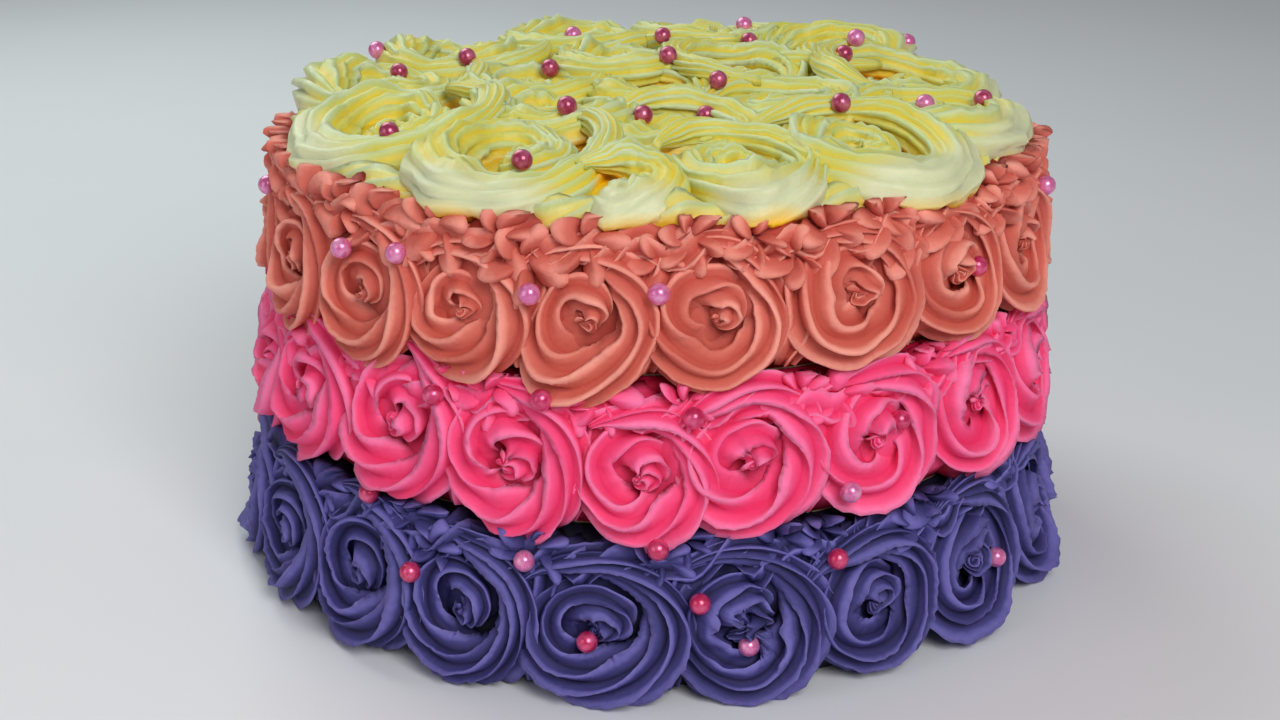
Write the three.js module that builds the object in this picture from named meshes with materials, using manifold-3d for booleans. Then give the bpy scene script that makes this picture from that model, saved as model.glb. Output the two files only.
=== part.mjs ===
// Round celebration cake covered all over with piped icing swirls: three rows round the side,
// in violet, pink and peach, and yellow swirls on top, with small drop stars in the gaps and
// sugar pearls. Millimetres, +Z up. The origin is the middle of the underside, and the front
// faces -Y. Angles round the cake are in degrees from the front, positive towards +X.

import * as THREE from 'three';
import { mergeVertices } from 'three/addons/utils/BufferGeometryUtils.js';
import Module from 'manifold-3d';

const wasm = await Module();
wasm.setup();

// The cake body under the icing narrows slightly towards the top.
const BODY_BASE_RADIUS = 122.5;
const BODY_TOP_RADIUS = 110;
const BODY_HEIGHT = 133;
const BODY_SIDES = 36;

// The gap between pieces, the clearance of the rings' inner corners from the round body, the icing
// in the valleys between swirls, and the seed of the unevenness
const GAP = 0.3;
const WALL_CLEARANCE = 0.85;
const VALLEY_DEPTH = 2.6;
const VALLEY_UNEVEN = 0.5;
const SEED = 731;

// A swirl is a spiral of ridges and grooves, drawn on lines that wind outwards by two places a
// turn. Heights are shares of the swirl's own height, unless they are depths in millimetres.
const SWIRL_STEPS = 10;
const SWIRL_LINES = 5;
const SWIRL_START = -20;
const SWIRL_START_UNEVEN = 28;
const RADIUS_UNEVEN = 0.04;
const HEIGHT_UNEVEN = 0.07;
const OVAL = 0.03;
const OVAL_TURN_UNEVEN = 0.7;
const RIDGE_FALL = 0.24;
const GROOVE_DEPTH = 4;
const PIT_FALL = 0.3;
const PIT_REACH = 0.22;
const EDGE_START = 0.8;
const EDGE_FALL = 0.35;
const SWIRL_EDGE_DEPTH = 4.8;
const BORDER_CLEARANCE = 0.5;
const LAST_SHARE = 0.93;

// The rows on the side, each from one height to another, with its swirls at the angles seen from
// the front and the rest even round the back. Stars and pearls are at [angle, height].
const ROW_SWIRLS = 20;
const ROWS = [
  {
    name: 'icing_violet', colour: '#4b4585', bottom: 0, top: 48.4, radius: 22.4, height: 14.6,
    angles: [-59, -41.5, -25, -7, 11, 29, 47, 66.5],
    stars: [[-33, 41], [2, 41], [20, 41], [38, 41]],
    pearls: [[-38, 44], [-31, 31], [-16, 34], [5, 32], [-8, 20], [11, 18], [22, 33], [49, 24]],
  },
  {
    name: 'icing_pink', colour: '#ec4a7e', bottom: 48.7, top: 91.6, radius: 21, height: 13.5,
    angles: [-55, -36, -18.5, -2, 13.5, 30.5, 49, 69],
    stars: [[-45.5, 84], [-27, 84], [-10, 84], [22, 84]],
    pearls: [[-29, 77], [-14, 79], [5, 82], [32, 76], [24, 58]],
  },
  {
    name: 'icing_peach', colour: '#dd7a5e', bottom: 91.9, top: 133, radius: 20.2, height: 13,
    angles: [-61, -43, -26, -8.5, 8.5, 27, 45.5, 65.5],
    stars: [[-52, 125], [-34.5, 125], [-17, 125], [1, 125], [18, 125], [36, 125]],
    pearls: [[-66, 126], [-45, 119], [-35, 117], [-16, 117], [1, 117], [46, 112]],
  },
];
const ROW_COLUMN_PARTS = 2;
const ROW_EDGE_PARTS = 2;
const STARS_BEHIND = 3;
const PEARLS_BEHIND = 4;
const BEHIND_FROM = 84;
const BEHIND_TO = 292;
const BEHIND_UNEVEN = 5;

// A drop star has one tip for each tooth of the nozzle.
const STAR_TEETH = 5;
const STAR_RADIUS = 7.2;
const STAR_VALLEY = 0.5;
const STAR_PEAK = 14.5;
const STAR_TIP_DEPTH = 7;
const STAR_BACK_DEPTH = 2;
const PEARL_RADIUS = 3.3;
const PEARL_PROUD = 0.7;

// The top has a ring of swirls that lean out over the edge, an inner ring, and one in the middle.
const TOP = {
  name: 'icing_yellow',
  colour: '#ece98f',
  height: 12.5,
  rimAngles: [-72, -33, -5, 19, 47, 76, 106, 137, 168, 199, 230, 260],
  rimDistance: 89,
  rimRadius: 30,
  edgeRadius: 121.5,
  edgeNotch: 5,
  ringRadius: 63.5,
  innerSwirls: 6,
  innerDistance: 41.5,
  innerRadius: 25,
  middleRadius: 21.5,
  pearls: [[-86, 40], [-79, -46], [-65, 63], [-35, 44], [-27, -13], [-37, -81], [-3, -27], [16, -28],
    [5, 100], [6, 70], [22, 24], [36, 88], [59, -12], [85, -12], [66, 72], [-28, 100], [92, 52]],
};
const TOP_COLUMN_PARTS = 2;
const TOP_EDGE_PARTS = 3;
const MIDDLE_EDGE_PARTS = 2;
const EDGE_OUT = 2;
const UNDERCUT = 1;

const radians = THREE.MathUtils.degToRad;
const lerp = THREE.MathUtils.lerp;
const wallRadius = (z) => lerp(BODY_BASE_RADIUS, BODY_TOP_RADIUS, z / BODY_HEIGHT);
const topBottom = BODY_HEIGHT + GAP;

// Seeded random numbers, the same on every run
THREE.MathUtils.seededRandom(SEED);
const random = () => THREE.MathUtils.seededRandom();
const uneven = (amount) => (random() * 2 - 1) * amount;
const list = (count, make) => Array.from({ length: count }, (_, i) => make(i));

// A surface under construction: points, and faces that list their corners anticlockwise.
class Surface {
  points = [];

  faces = [];

  add(point) {
    return this.points.push(point) - 1;
  }

  // Joins two rows of points of one length, the second to the left of the first as they run.
  strip(right, left) {
    for (let i = 0; i + 1 < right.length; i += 1) {
      this.faces.push([right[i], right[i + 1], left[i + 1]], [right[i], left[i + 1], left[i]]);
    }
  }

  fan(middle, loop) {
    loop.forEach((corner, i) => this.faces.push([middle, corner, loop[(i + 1) % loop.length]]));
  }

  geometry() {
    const geometry = new THREE.BufferGeometry();
    const numbers = this.points.flatMap((point) => point.toArray());
    geometry.setAttribute('position', new THREE.Float32BufferAttribute(numbers, 3));
    const whole = this.faces.filter(([a, b, c]) => a !== b && b !== c && c !== a);
    geometry.setIndex(whole.flat());
    return geometry;
  }
}

function solidFrom(geometry) {
  const bare = geometry.clone();
  bare.deleteAttribute('normal');
  bare.deleteAttribute('uv');
  const merged = mergeVertices(bare, 1e-4);
  return new wasm.Manifold(new wasm.Mesh({
    numProp: 3,
    vertProperties: new Float32Array(merged.attributes.position.array),
    triVerts: new Uint32Array(merged.index.array),
  }));
}

function geometryFrom(solid) {
  const mesh = solid.getMesh();
  const geometry = new THREE.BufferGeometry();
  geometry.setAttribute('position', new THREE.BufferAttribute(new Float32Array(mesh.vertProperties), 3));
  geometry.setIndex(new THREE.BufferAttribute(new Uint32Array(mesh.triVerts), 1));
  return geometry;
}

// Keeps the largest shell of a geometry. Sealed hollows are filled, and loose scraps are dropped.
function outerShell(geometry) {
  const index = geometry.index.array;
  const position = geometry.attributes.position;
  const parents = list(position.count, (i) => i);
  const shellOf = (i) => {
    let root = i;
    while (parents[root] !== root) root = parents[root];
    parents[i] = root;
    return root;
  };
  const faces = list(index.length / 3, (i) => [...index.slice(3 * i, 3 * i + 3)]);
  faces.forEach(([a, b, c]) => {
    parents[shellOf(a)] = shellOf(b);
    parents[shellOf(b)] = shellOf(c);
  });
  const volumes = new Map();
  faces.forEach((face) => {
    const [a, b, c] = face.map((corner) => new THREE.Vector3().fromBufferAttribute(position, corner));
    const shell = shellOf(face[0]);
    volumes.set(shell, (volumes.get(shell) ?? 0) + a.dot(b.cross(c)));
  });
  const [largest] = [...volumes].reduce((best, entry) => (entry[1] > best[1] ? entry : best));
  geometry.setIndex(faces.filter(([a]) => shellOf(a) === largest).flat());
  return geometry;
}

// A frame on the side of the cake: along it to the right, up it, and out of the body.
function sideFrame(angle, height) {
  const around = wallRadius(height);
  return {
    place(along, up, out) {
      const turn = radians(angle) + along / around;
      const r = wallRadius(height + up) + out;
      return new THREE.Vector3(r * Math.sin(turn), -r * Math.cos(turn), height + up);
    },
    locate(point) {
      const turn = Math.atan2(point.x, -point.y) - radians(angle);
      return new THREE.Vector2(Math.atan2(Math.sin(turn), Math.cos(turn)) * around, point.z - height);
    },
  };
}

// A frame on the top: along the rim to the right, in towards the middle, and up from the body.
function topFrame(angle, distance) {
  const outward = new THREE.Vector2(Math.sin(radians(angle)), -Math.cos(radians(angle)));
  const along = new THREE.Vector2(-outward.y, outward.x);
  const middle = outward.clone().multiplyScalar(distance);
  return {
    place(right, inwards, out) {
      const flat = middle.clone().addScaledVector(along, right).addScaledVector(outward, -inwards);
      return new THREE.Vector3(flat.x, flat.y, topBottom + out);
    },
    locate(point) {
      const offset = new THREE.Vector2(point.x, point.y).sub(middle);
      return new THREE.Vector2(offset.dot(along), -offset.dot(outward));
    },
  };
}

function makeSwirl(radius, height) {
  return {
    radius: radius * (1 + uneven(RADIUS_UNEVEN)),
    height: height * (1 + uneven(HEIGHT_UNEVEN)),
    start: radians(SWIRL_START + uneven(SWIRL_START_UNEVEN)),
    ovalTurn: Math.PI / 2 + uneven(OVAL_TURN_UNEVEN),
  };
}

// How far it is from the middle of a cell to its border, in one direction.
function distanceToBorder(border, angle) {
  const direction = new THREE.Vector2(Math.cos(angle), Math.sin(angle));
  let nearest = Infinity;
  border.forEach((from, i) => {
    const edge = border[(i + 1) % border.length].clone().sub(from);
    const across = direction.cross(edge);
    const reach = from.cross(edge) / across;
    const share = from.cross(direction) / across;
    if (reach > 0 && share >= -1e-9 && share <= 1 + 1e-9) nearest = Math.min(nearest, reach);
  });
  return nearest;
}

// Height of a swirl at a share of its reach, on a ridge or in a groove
function swirlHeight(swirl, share, ridge) {
  const pit = PIT_FALL * Math.max(0, 1 - share / PIT_REACH);
  const edge = EDGE_FALL * Math.max(0, (share - EDGE_START) / (1 - EDGE_START)) ** 2;
  const crest = swirl.height * (1 - RIDGE_FALL * share * share - pit - edge);
  const groove = ridge ? 0 : GROOVE_DEPTH * Math.min(1, share / PIT_REACH);
  return Math.max(crest - groove, SWIRL_EDGE_DEPTH);
}

// Adds a swirl to a surface, and joins it to the loop of points that borders its cell.
function addSwirl(surface, swirl, frame, loop) {
  const border = loop.map((index) => frame.locate(surface.points[index]));
  const angleOf = (step) => swirl.start + step / SWIRL_STEPS * 2 * Math.PI;
  const reaches = list(SWIRL_STEPS, (step) => {
    const oval = 1 + OVAL * Math.cos(2 * (angleOf(step) - swirl.ovalTurn));
    return Math.min(swirl.radius * oval, distanceToBorder(border, angleOf(step)) - BORDER_CLEARANCE);
  });
  const pointAt = (share, step, height) => {
    const reach = reaches[step] * share;
    return surface.add(frame.place(reach * Math.cos(angleOf(step)), reach * Math.sin(angleOf(step)), height));
  };
  const middle = pointAt(0, 0, swirlHeight(swirl, 0, true));
  const rim = list(SWIRL_STEPS, (step) => pointAt(1, step, SWIRL_EDGE_DEPTH));
  const lines = list(SWIRL_LINES + 1, (line) => list(SWIRL_STEPS, (step) => {
    const share = (line + 2 * step / SWIRL_STEPS) / SWIRL_LINES;
    if (share === 0) return middle;
    return share < LAST_SHARE ? pointAt(share, step, swirlHeight(swirl, share, line % 2 === 0)) : rim[step];
  }));
  // After one turn a line runs on as the next ridge or groove out.
  lines.forEach((line, i) => line.push(i + 2 < lines.length ? lines[i + 2][0] : rim[0]));
  for (let i = 0; i < SWIRL_LINES; i += 1) surface.strip(lines[i + 1], lines[i]);
  const inmost = lines[0].slice(1, SWIRL_STEPS);
  inmost.push(lines[1][0]);
  for (let i = 0; i + 1 < inmost.length; i += 1) surface.faces.push([middle, inmost[i], inmost[i + 1]]);
  surface.faces.push([lines[1][0], lines[0][SWIRL_STEPS - 1], lines[2][0]]);
  joinLoops(surface, rim, list(SWIRL_STEPS, angleOf), loop, border.map((at) => at.angle()));
}

// Fills between an inner and an outer loop, always stepping along the one that lies behind.
function joinLoops(surface, inner, innerAngles, outer, outerAngles) {
  const turn = 2 * Math.PI;
  const wrap = (angle) => ((angle % turn) + turn) % turn;
  const lead = outerAngles.map((angle) => wrap(angle - innerAngles[0]));
  const first = lead.indexOf(Math.min(...lead));
  const outerAt = (j) => outer[(first + j) % outer.length];
  const outerAngle = (j) => lead[(first + j) % outer.length] + (j < outer.length ? 0 : turn);
  const innerAt = (i) => inner[i % inner.length];
  const innerAngle = (i) => innerAngles[i % inner.length] - innerAngles[0] + (i < inner.length ? 0 : turn);
  let i = 0;
  let j = 0;
  while (i < inner.length || j < outer.length) {
    if (j === outer.length || (i < inner.length && innerAngle(i + 1) <= outerAngle(j + 1))) {
      surface.faces.push([innerAt(i), outerAt(j), innerAt(i + 1)]);
      i += 1;
    } else {
      surface.faces.push([innerAt(i), outerAt(j), outerAt(j + 1)]);
      j += 1;
    }
  }
}

// The angles of a row's swirls: the front ones as seen, the rest even round the back
function rowAngles(front) {
  const behind = ROW_SWIRLS - front.length;
  const open = 360 - (front.at(-1) - front[0]);
  return [...front, ...list(behind, (i) => front.at(-1) + open * (i + 1) / (behind + 1))];
}

// A row of swirls as one closed ring round the body: a cell for each swirl between two columns
// of shared points, edges along the bottom and the top, and a smooth wall inside.
function rowSolid(row) {
  const surface = new Surface();
  const angles = rowAngles(row.angles);
  const valley = (end) => VALLEY_DEPTH + (end ? 0 : uneven(VALLEY_UNEVEN));
  const at = (angle, height, out) => surface.add(sideFrame(angle, height).place(0, 0, out));
  const borders = angles.map((angle, i) => (angle + (i ? angles[i - 1] : angles.at(-1) - 360)) / 2);
  const columns = borders.map((angle) => list(ROW_COLUMN_PARTS + 1, (k) => {
    const height = lerp(row.bottom, row.top, k / ROW_COLUMN_PARTS);
    return at(angle, height, valley(k === 0 || k === ROW_COLUMN_PARTS));
  }));
  const edges = angles.map((_, i) => [row.bottom, row.top].map((height, side) => {
    const [from, to] = [borders[i], i + 1 < borders.length ? borders[i + 1] : borders[0] + 360];
    const next = columns[(i + 1) % columns.length];
    const between = list(ROW_EDGE_PARTS - 1, (k) => {
      const angle = lerp(from, to, (k + 1) / ROW_EDGE_PARTS);
      return at(angle, height, VALLEY_DEPTH);
    });
    return [side ? columns[i].at(-1) : columns[i][0], ...between, side ? next.at(-1) : next[0]];
  }));
  angles.forEach((angle, i) => {
    const next = columns[(i + 1) % columns.length];
    const [bottom, top] = edges[i];
    const back = [...top.toReversed().slice(1), ...columns[i].toReversed().slice(1, -1)];
    const loop = [...bottom, ...next.slice(1), ...back];
    const frame = sideFrame(angle, (row.bottom + row.top) / 2);
    addSwirl(surface, makeSwirl(row.radius, row.height), frame, loop);
  });
  const [outerBottom, outerTop] = [0, 1].map((side) => edges.flatMap((pair) => pair[side].slice(0, -1)));
  const inward = (index) => {
    const point = surface.points[index];
    const r = wallRadius(point.z) + WALL_CLEARANCE;
    return surface.add(new THREE.Vector3(point.x, point.y, 0).setLength(r).setZ(point.z));
  };
  const innerBottom = outerBottom.map(inward);
  const innerTop = outerTop.map(inward);
  const closed = (loop) => [...loop, loop[0]];
  surface.strip(closed(innerBottom), closed(outerBottom));
  surface.strip(closed(outerTop), closed(innerTop));
  surface.strip(closed(innerTop), closed(innerBottom));
  return solidFrom(surface.geometry());
}

// A drop star: pointed lips round a peak, with its back buried in the icing.
function starSolid(frame) {
  const surface = new Surface();
  const corners = 2 * STAR_TEETH;
  const start = random() * 2 * Math.PI;
  const radius = STAR_RADIUS * (1 + uneven(RADIUS_UNEVEN));
  const loop = list(corners, (i) => {
    const reach = radius * (i % 2 ? STAR_VALLEY : 1);
    const angle = start + i / corners * 2 * Math.PI;
    return surface.add(frame.place(reach * Math.cos(angle), reach * Math.sin(angle), STAR_TIP_DEPTH));
  });
  surface.fan(surface.add(frame.place(0, 0, STAR_PEAK)), loop);
  surface.fan(surface.add(frame.place(0, 0, STAR_BACK_DEPTH)), loop.toReversed());
  return solidFrom(surface.geometry());
}

// Places round the back of the cake, spread evenly with a little scatter
function placesBehind(count, low, high) {
  return list(count, (i) => {
    const angle = lerp(BEHIND_FROM, BEHIND_TO, (i + 0.5) / count) + uneven(BEHIND_UNEVEN);
    return [angle, lerp(low, high, random())];
  });
}

// Pearls lie on the icing: each is moved along a ray until it meets the surface.
function withPearls(solid, rays) {
  const geometry = geometryFrom(solid);
  const target = new THREE.Mesh(geometry, new THREE.MeshBasicMaterial({ side: THREE.DoubleSide }));
  const pearls = rays.map(([origin, direction]) => {
    const [hit] = new THREE.Raycaster(origin, direction).intersectObject(target);
    const centre = hit.point.addScaledVector(direction, -PEARL_RADIUS * PEARL_PROUD);
    const pearl = new THREE.IcosahedronGeometry(PEARL_RADIUS, 0).rotateZ(random() * Math.PI);
    return solidFrom(pearl.translate(centre.x, centre.y, centre.z));
  });
  return wasm.Manifold.union([solid, ...pearls]);
}

function sideRay([angle, height]) {
  const direction = new THREE.Vector3(-Math.sin(radians(angle)), Math.cos(radians(angle)), 0);
  return [direction.clone().multiplyScalar(-2 * BODY_BASE_RADIUS).setZ(height), direction];
}

function topRay([x, y]) {
  return [new THREE.Vector3(x, y, 2 * BODY_HEIGHT), new THREE.Vector3(0, 0, -1)];
}

function dressedRow(row) {
  const starHeight = row.top - STAR_RADIUS * (1 + RADIUS_UNEVEN);
  const starPlaces = [...row.stars, ...placesBehind(STARS_BEHIND, starHeight, starHeight)];
  const stars = starPlaces.map(([angle, height]) => {
    const within = Math.min(height, starHeight);
    return starSolid(sideFrame(angle, within));
  });
  const iced = wasm.Manifold.union([rowSolid(row), ...stars]);
  const margin = 2 * PEARL_RADIUS;
  const pearls = [...row.pearls, ...placesBehind(PEARLS_BEHIND, row.bottom + margin, row.top - margin)];
  return outerShell(geometryFrom(withPearls(iced, pearls.map(sideRay))));
}

// The top as one closed surface: a scalloped edge loop, a ring loop and a small middle loop, with
// columns of shared points between the cells, and a flat underside.
function topSolid() {
  const surface = new Surface();
  const at = (angle, distance, out) => surface.add(topFrame(angle, distance).place(0, 0, out));
  const valley = () => VALLEY_DEPTH + uneven(VALLEY_UNEVEN);
  const column = (angle, from, to) => list(TOP_COLUMN_PARTS - 1, (k) => at(
    angle, lerp(from, to, (k + 1) / TOP_COLUMN_PARTS), valley()));
  const { rimAngles } = TOP;
  const borders = rimAngles.map((angle, i) => (angle + (i ? rimAngles[i - 1] : rimAngles.at(-1) - 360)) / 2);
  const turnOf = (i, part, parts) => {
    const next = i + 1 < borders.length ? borders[i + 1] : borders[0] + 360;
    return lerp(borders[i], next, part / parts);
  };
  const count = rimAngles.length;
  const edgePlaces = list(count * TOP_EDGE_PARTS, (k) => {
    const part = k % TOP_EDGE_PARTS;
    return [(k - part) / TOP_EDGE_PARTS, part];
  });
  const edgeAngles = edgePlaces.map(([i, part]) => turnOf(i, part, TOP_EDGE_PARTS));
  const edgeReach = edgePlaces.map(([, part]) => TOP.edgeRadius - (part ? 0 : TOP.edgeNotch));
  const edge = edgeAngles.map((angle, k) => at(angle, edgeReach[k], EDGE_OUT));
  const under = edgeAngles.map((angle, k) => at(angle, edgeReach[k] - UNDERCUT, 0));
  const ring = edgeAngles.map((angle) => at(angle, TOP.ringRadius, valley()));
  const from = (loop, start, steps) => list(steps + 1, (k) => loop[(start + k) % loop.length]);
  const rimColumns = borders.map((angle) => column(angle, TOP.edgeRadius - TOP.edgeNotch, TOP.ringRadius));
  rimAngles.forEach((angle, i) => {
    const outer = from(edge, i * TOP_EDGE_PARTS, TOP_EDGE_PARTS);
    const inner = from(ring, i * TOP_EDGE_PARTS, TOP_EDGE_PARTS).toReversed();
    const loop = [...outer, ...rimColumns[(i + 1) % count], ...inner, ...rimColumns[i].toReversed()];
    addSwirl(surface, makeSwirl(TOP.rimRadius, TOP.height), topFrame(angle, TOP.rimDistance), loop);
  });
  const innerParts = ring.length / TOP.innerSwirls;
  const innerTurns = list(TOP.innerSwirls, (i) => borders[i * innerParts / TOP_EDGE_PARTS]);
  innerTurns.push(innerTurns[0] + 360);
  const middle = list(TOP.innerSwirls * MIDDLE_EDGE_PARTS, (k) => {
    const i = Math.floor(k / MIDDLE_EDGE_PARTS);
    const part = k % MIDDLE_EDGE_PARTS / MIDDLE_EDGE_PARTS;
    return at(lerp(innerTurns[i], innerTurns[i + 1], part), TOP.middleRadius, valley());
  });
  const innerColumns = list(TOP.innerSwirls, (i) => column(innerTurns[i], TOP.ringRadius, TOP.middleRadius));
  for (let i = 0; i < TOP.innerSwirls; i += 1) {
    const next = innerColumns[(i + 1) % TOP.innerSwirls];
    const outer = from(ring, i * innerParts, innerParts);
    const inner = from(middle, i * MIDDLE_EDGE_PARTS, MIDDLE_EDGE_PARTS).toReversed();
    const loop = [...outer, ...next, ...inner, ...innerColumns[i].toReversed()];
    const frame = topFrame((innerTurns[i] + innerTurns[i + 1]) / 2, TOP.innerDistance);
    addSwirl(surface, makeSwirl(TOP.innerRadius, TOP.height), frame, loop);
  }
  addSwirl(surface, makeSwirl(TOP.middleRadius, TOP.height), topFrame(0, 0), middle);
  surface.strip([...under, under[0]], [...edge, edge[0]]);
  surface.fan(at(0, 0, 0), under.toReversed());
  return solidFrom(surface.geometry());
}

function addPiece(group, name, geometry, colour, roughness) {
  geometry.computeVertexNormals();
  const material = new THREE.MeshStandardMaterial({ color: colour, roughness, metalness: 0 });
  const mesh = new THREE.Mesh(geometry, material);
  mesh.name = name;
  group.add(mesh);
}

const cake = new THREE.Group();
const body = new THREE.LatheGeometry([
  new THREE.Vector2(0, 0),
  new THREE.Vector2(BODY_BASE_RADIUS, 0),
  new THREE.Vector2(BODY_TOP_RADIUS, BODY_HEIGHT),
  new THREE.Vector2(0, BODY_HEIGHT),
], BODY_SIDES).rotateX(Math.PI / 2);
addPiece(cake, 'cake_body', geometryFrom(solidFrom(body)), '#cdb79a', 0.8);
ROWS.forEach((row) => addPiece(cake, row.name, dressedRow(row), row.colour, 0.6));
const topIcing = outerShell(geometryFrom(withPearls(topSolid(), TOP.pearls.map(topRay))));
addPiece(cake, TOP.name, topIcing, TOP.colour, 0.5);

// The cake stands with the middle of its outline over the origin.
const outlineMiddle = new THREE.Box3().setFromObject(cake).getCenter(new THREE.Vector3());
cake.position.set(-outlineMiddle.x, -outlineMiddle.y, 0);

export default cake;
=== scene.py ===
"""A tall round cake, piped all over with rosettes of icing in four colours and dotted with sugar pearls.

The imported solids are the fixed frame. Each solid band of icing is replaced by finely piped rosettes, the
thin bed that they are piped on, and a rope along the band's edge. On the side, small stars and short
strokes fill what shows between the rosettes. The pearls are laid on what was piped.

Lengths are millimetres, or metres in a finish, a light and the studio, and angles are degrees, unless a
name says otherwise. A place on the cake's side is an angle and a height. The angle is 0 at the front, which
faces -Y, and grows towards +X.
"""

import logging
import math
from dataclasses import dataclass, field
from enum import Enum
from typing import Sequence

import bpy
import numpy as np
from mathutils import Matrix, Vector

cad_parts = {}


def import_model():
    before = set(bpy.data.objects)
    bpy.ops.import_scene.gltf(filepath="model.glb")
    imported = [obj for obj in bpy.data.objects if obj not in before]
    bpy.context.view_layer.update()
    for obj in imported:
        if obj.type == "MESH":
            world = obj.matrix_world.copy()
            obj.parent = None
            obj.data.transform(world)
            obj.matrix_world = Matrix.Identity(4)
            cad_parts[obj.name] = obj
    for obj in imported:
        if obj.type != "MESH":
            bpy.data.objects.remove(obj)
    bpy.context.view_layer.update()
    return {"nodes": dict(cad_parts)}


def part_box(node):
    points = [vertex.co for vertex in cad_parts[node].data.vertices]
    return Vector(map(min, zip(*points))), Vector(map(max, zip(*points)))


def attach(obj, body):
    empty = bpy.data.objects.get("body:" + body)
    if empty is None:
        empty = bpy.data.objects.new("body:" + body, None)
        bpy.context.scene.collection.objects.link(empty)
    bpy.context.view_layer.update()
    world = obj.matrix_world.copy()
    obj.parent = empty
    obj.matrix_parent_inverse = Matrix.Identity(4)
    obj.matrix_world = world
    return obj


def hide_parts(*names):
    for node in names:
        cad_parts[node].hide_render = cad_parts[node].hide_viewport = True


# Linear red, green and blue, and alpha.
Colour = tuple[float, float, float, float]

LOG = logging.getLogger("cake")
SEED = 731

# A millimetre in metres, and a length too small to matter that keeps a divisor off zero.
METRES = 0.001
TINY = 1e-9

# A full turn in radians, and in degrees, in which the angles of places on the cake are given.
FULL_TURN = 2 * math.pi
DEGREES_ROUND = 360

# The numbers that are stored on the points of the icing, for its finish to read.
# How far up a lip each point lies, which sets the painted shade in the troughs and the painted highlight on
# the lips.
CREST = "crest"
# How deep a point lies below its surroundings, which sets painted shade in deep gaps.
CAVITY_SHADE = "cavity_shade"
PALENESS = "paleness"

# The mean of a noise texture.
NOISE_MEAN = 0.5

# The curve by which a screen stores its colours, which is straight near black.
SCREEN_WHITE = 255
CURVE_OFFSET = 0.055
CURVE_POWER = 2.4
TOE_LEVEL = 10
TOE_SLOPE = 12.92

# How many waves make up a wobble that must not seem to repeat itself, and a ragged or lumpy one.
VARIED_WAVES = 5
RAGGED_WAVES = 6

# How sharply a wobble fades out where the two ends of a ring meet.
SEAM_POWER = 0.3

# The direction in which a rosette's tail usually ends, in degrees anticlockwise from its right.
USUAL_TAIL = 138.0


class IcingColour(Enum):
    """The four bands of icing, from the foot of the cake to its top."""

    VIOLET = "violet"
    PINK = "pink"
    PEACH = "peach"
    YELLOW = "yellow"


class PearlColour(Enum):
    """The three colours of sugar pearl, each with its material slot."""

    PALE = "pale_pearl"
    ROSE = "rose_pearl"
    DARK = "dark_pearl"


def linear(red: float, green: float, blue: float) -> Colour:
    """Turns a screen colour into the linear colour that shaders take.

    Args:
        red: The red share, 0 to 255.
        green: The green share, 0 to 255.
        blue: The blue share, 0 to 255.

    Returns:
        Linear red, green, blue and an alpha of 1.
    """
    shares = []
    for level in (red, green, blue):
        share = level / SCREEN_WHITE
        curved = ((share + CURVE_OFFSET) / (1 + CURVE_OFFSET)) ** CURVE_POWER
        shares.append(curved if level > TOE_LEVEL else share / TOE_SLOPE)
    return shares[0], shares[1], shares[2], 1.0


def smooth_line(
    at: np.ndarray, knots: Sequence[float], values: Sequence[float], width: int = 7
) -> np.ndarray:
    """Runs through the given values with the corners rounded off.

    Args:
        at: Where the line is wanted, evenly spaced.
        knots: Where the values hold, growing.
        values: One value for each knot.
        width: How many samples the rounding reaches over.

    Returns:
        The line's value at each place.
    """
    line = np.interp(at, knots, values)
    padded = np.pad(line, width // 2, mode="edge")
    return np.convolve(padded, np.ones(width) / width, mode="valid")


def seam_ease(turn: np.ndarray | float) -> np.ndarray | float:
    """Fades a wobble out at the back of the cake, where the two ends of a ring meet.

    Args:
        turn: The angle in radians, from minus half a turn to half a turn.

    Returns:
        A share from 0 at the back to 1 at the front.
    """
    return np.cos(turn / 2) ** SEAM_POWER


class Wobble:
    """A smooth random line or surface: a few sine waves with drawn directions and phases."""

    RATES = (0.6, 1.9)
    TILTS = (-1.6, 1.6)

    def __init__(self, chance: np.random.Generator, waves: int = 4) -> None:
        """Draws the waves.

        Args:
            chance: The seeded source of random numbers.
            waves: How many waves are added up.
        """
        self.rates = chance.uniform(*self.RATES, waves)
        self.tilts = chance.uniform(*self.TILTS, waves)
        self.phases = chance.uniform(0, FULL_TURN, waves)
        self.share = 1 / math.sqrt(waves)

    def at(self, x: np.ndarray, y: np.ndarray | float = 0.0) -> np.ndarray:
        """Gives the wobble's value at places on a line or a surface.

        Args:
            x: How far along each place is.
            y: How far across it is.

        Returns:
            The value at each place, mostly between -1 and 1.
        """
        waves = zip(self.rates, self.tilts, self.phases)
        parts = [np.sin(rate * x + tilt * y + phase) for rate, tilt, phase in waves]
        return self.share * np.sum(parts, axis=0)


@dataclass(frozen=True)
class Ripple:
    """How deep a wobble is along a rope of icing, how fast it runs, and how it differs across the rope.

    The depth is in radians where the wobble turns something.
    """

    depth: float
    rate: float
    across: float = 0.0
    start: float = 0.0

    def of(self, wobble: Wobble, along: np.ndarray, side: np.ndarray | float = 0.0) -> np.ndarray:
        """Gives a wobble's value at places along and across the rope.

        Args:
            wobble: The drawn wobble.
            along: How far along the rope each place is.
            side: How far across the rope each place is, or its tooth's number.

        Returns:
            The value at each place.
        """
        return self.depth * wobble.at(self.rate * along + self.start, self.across * side)


@dataclass(frozen=True)
class Ramp:
    """A share that grows to 1 over a width, from its least at the start; over a negative width it shrinks."""

    start: float
    width: float
    least: float = 0.0

    def of(self, value: np.ndarray) -> np.ndarray:
        """The share at each value."""
        return np.clip((value - self.start) / self.width, self.least, 1)


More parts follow.
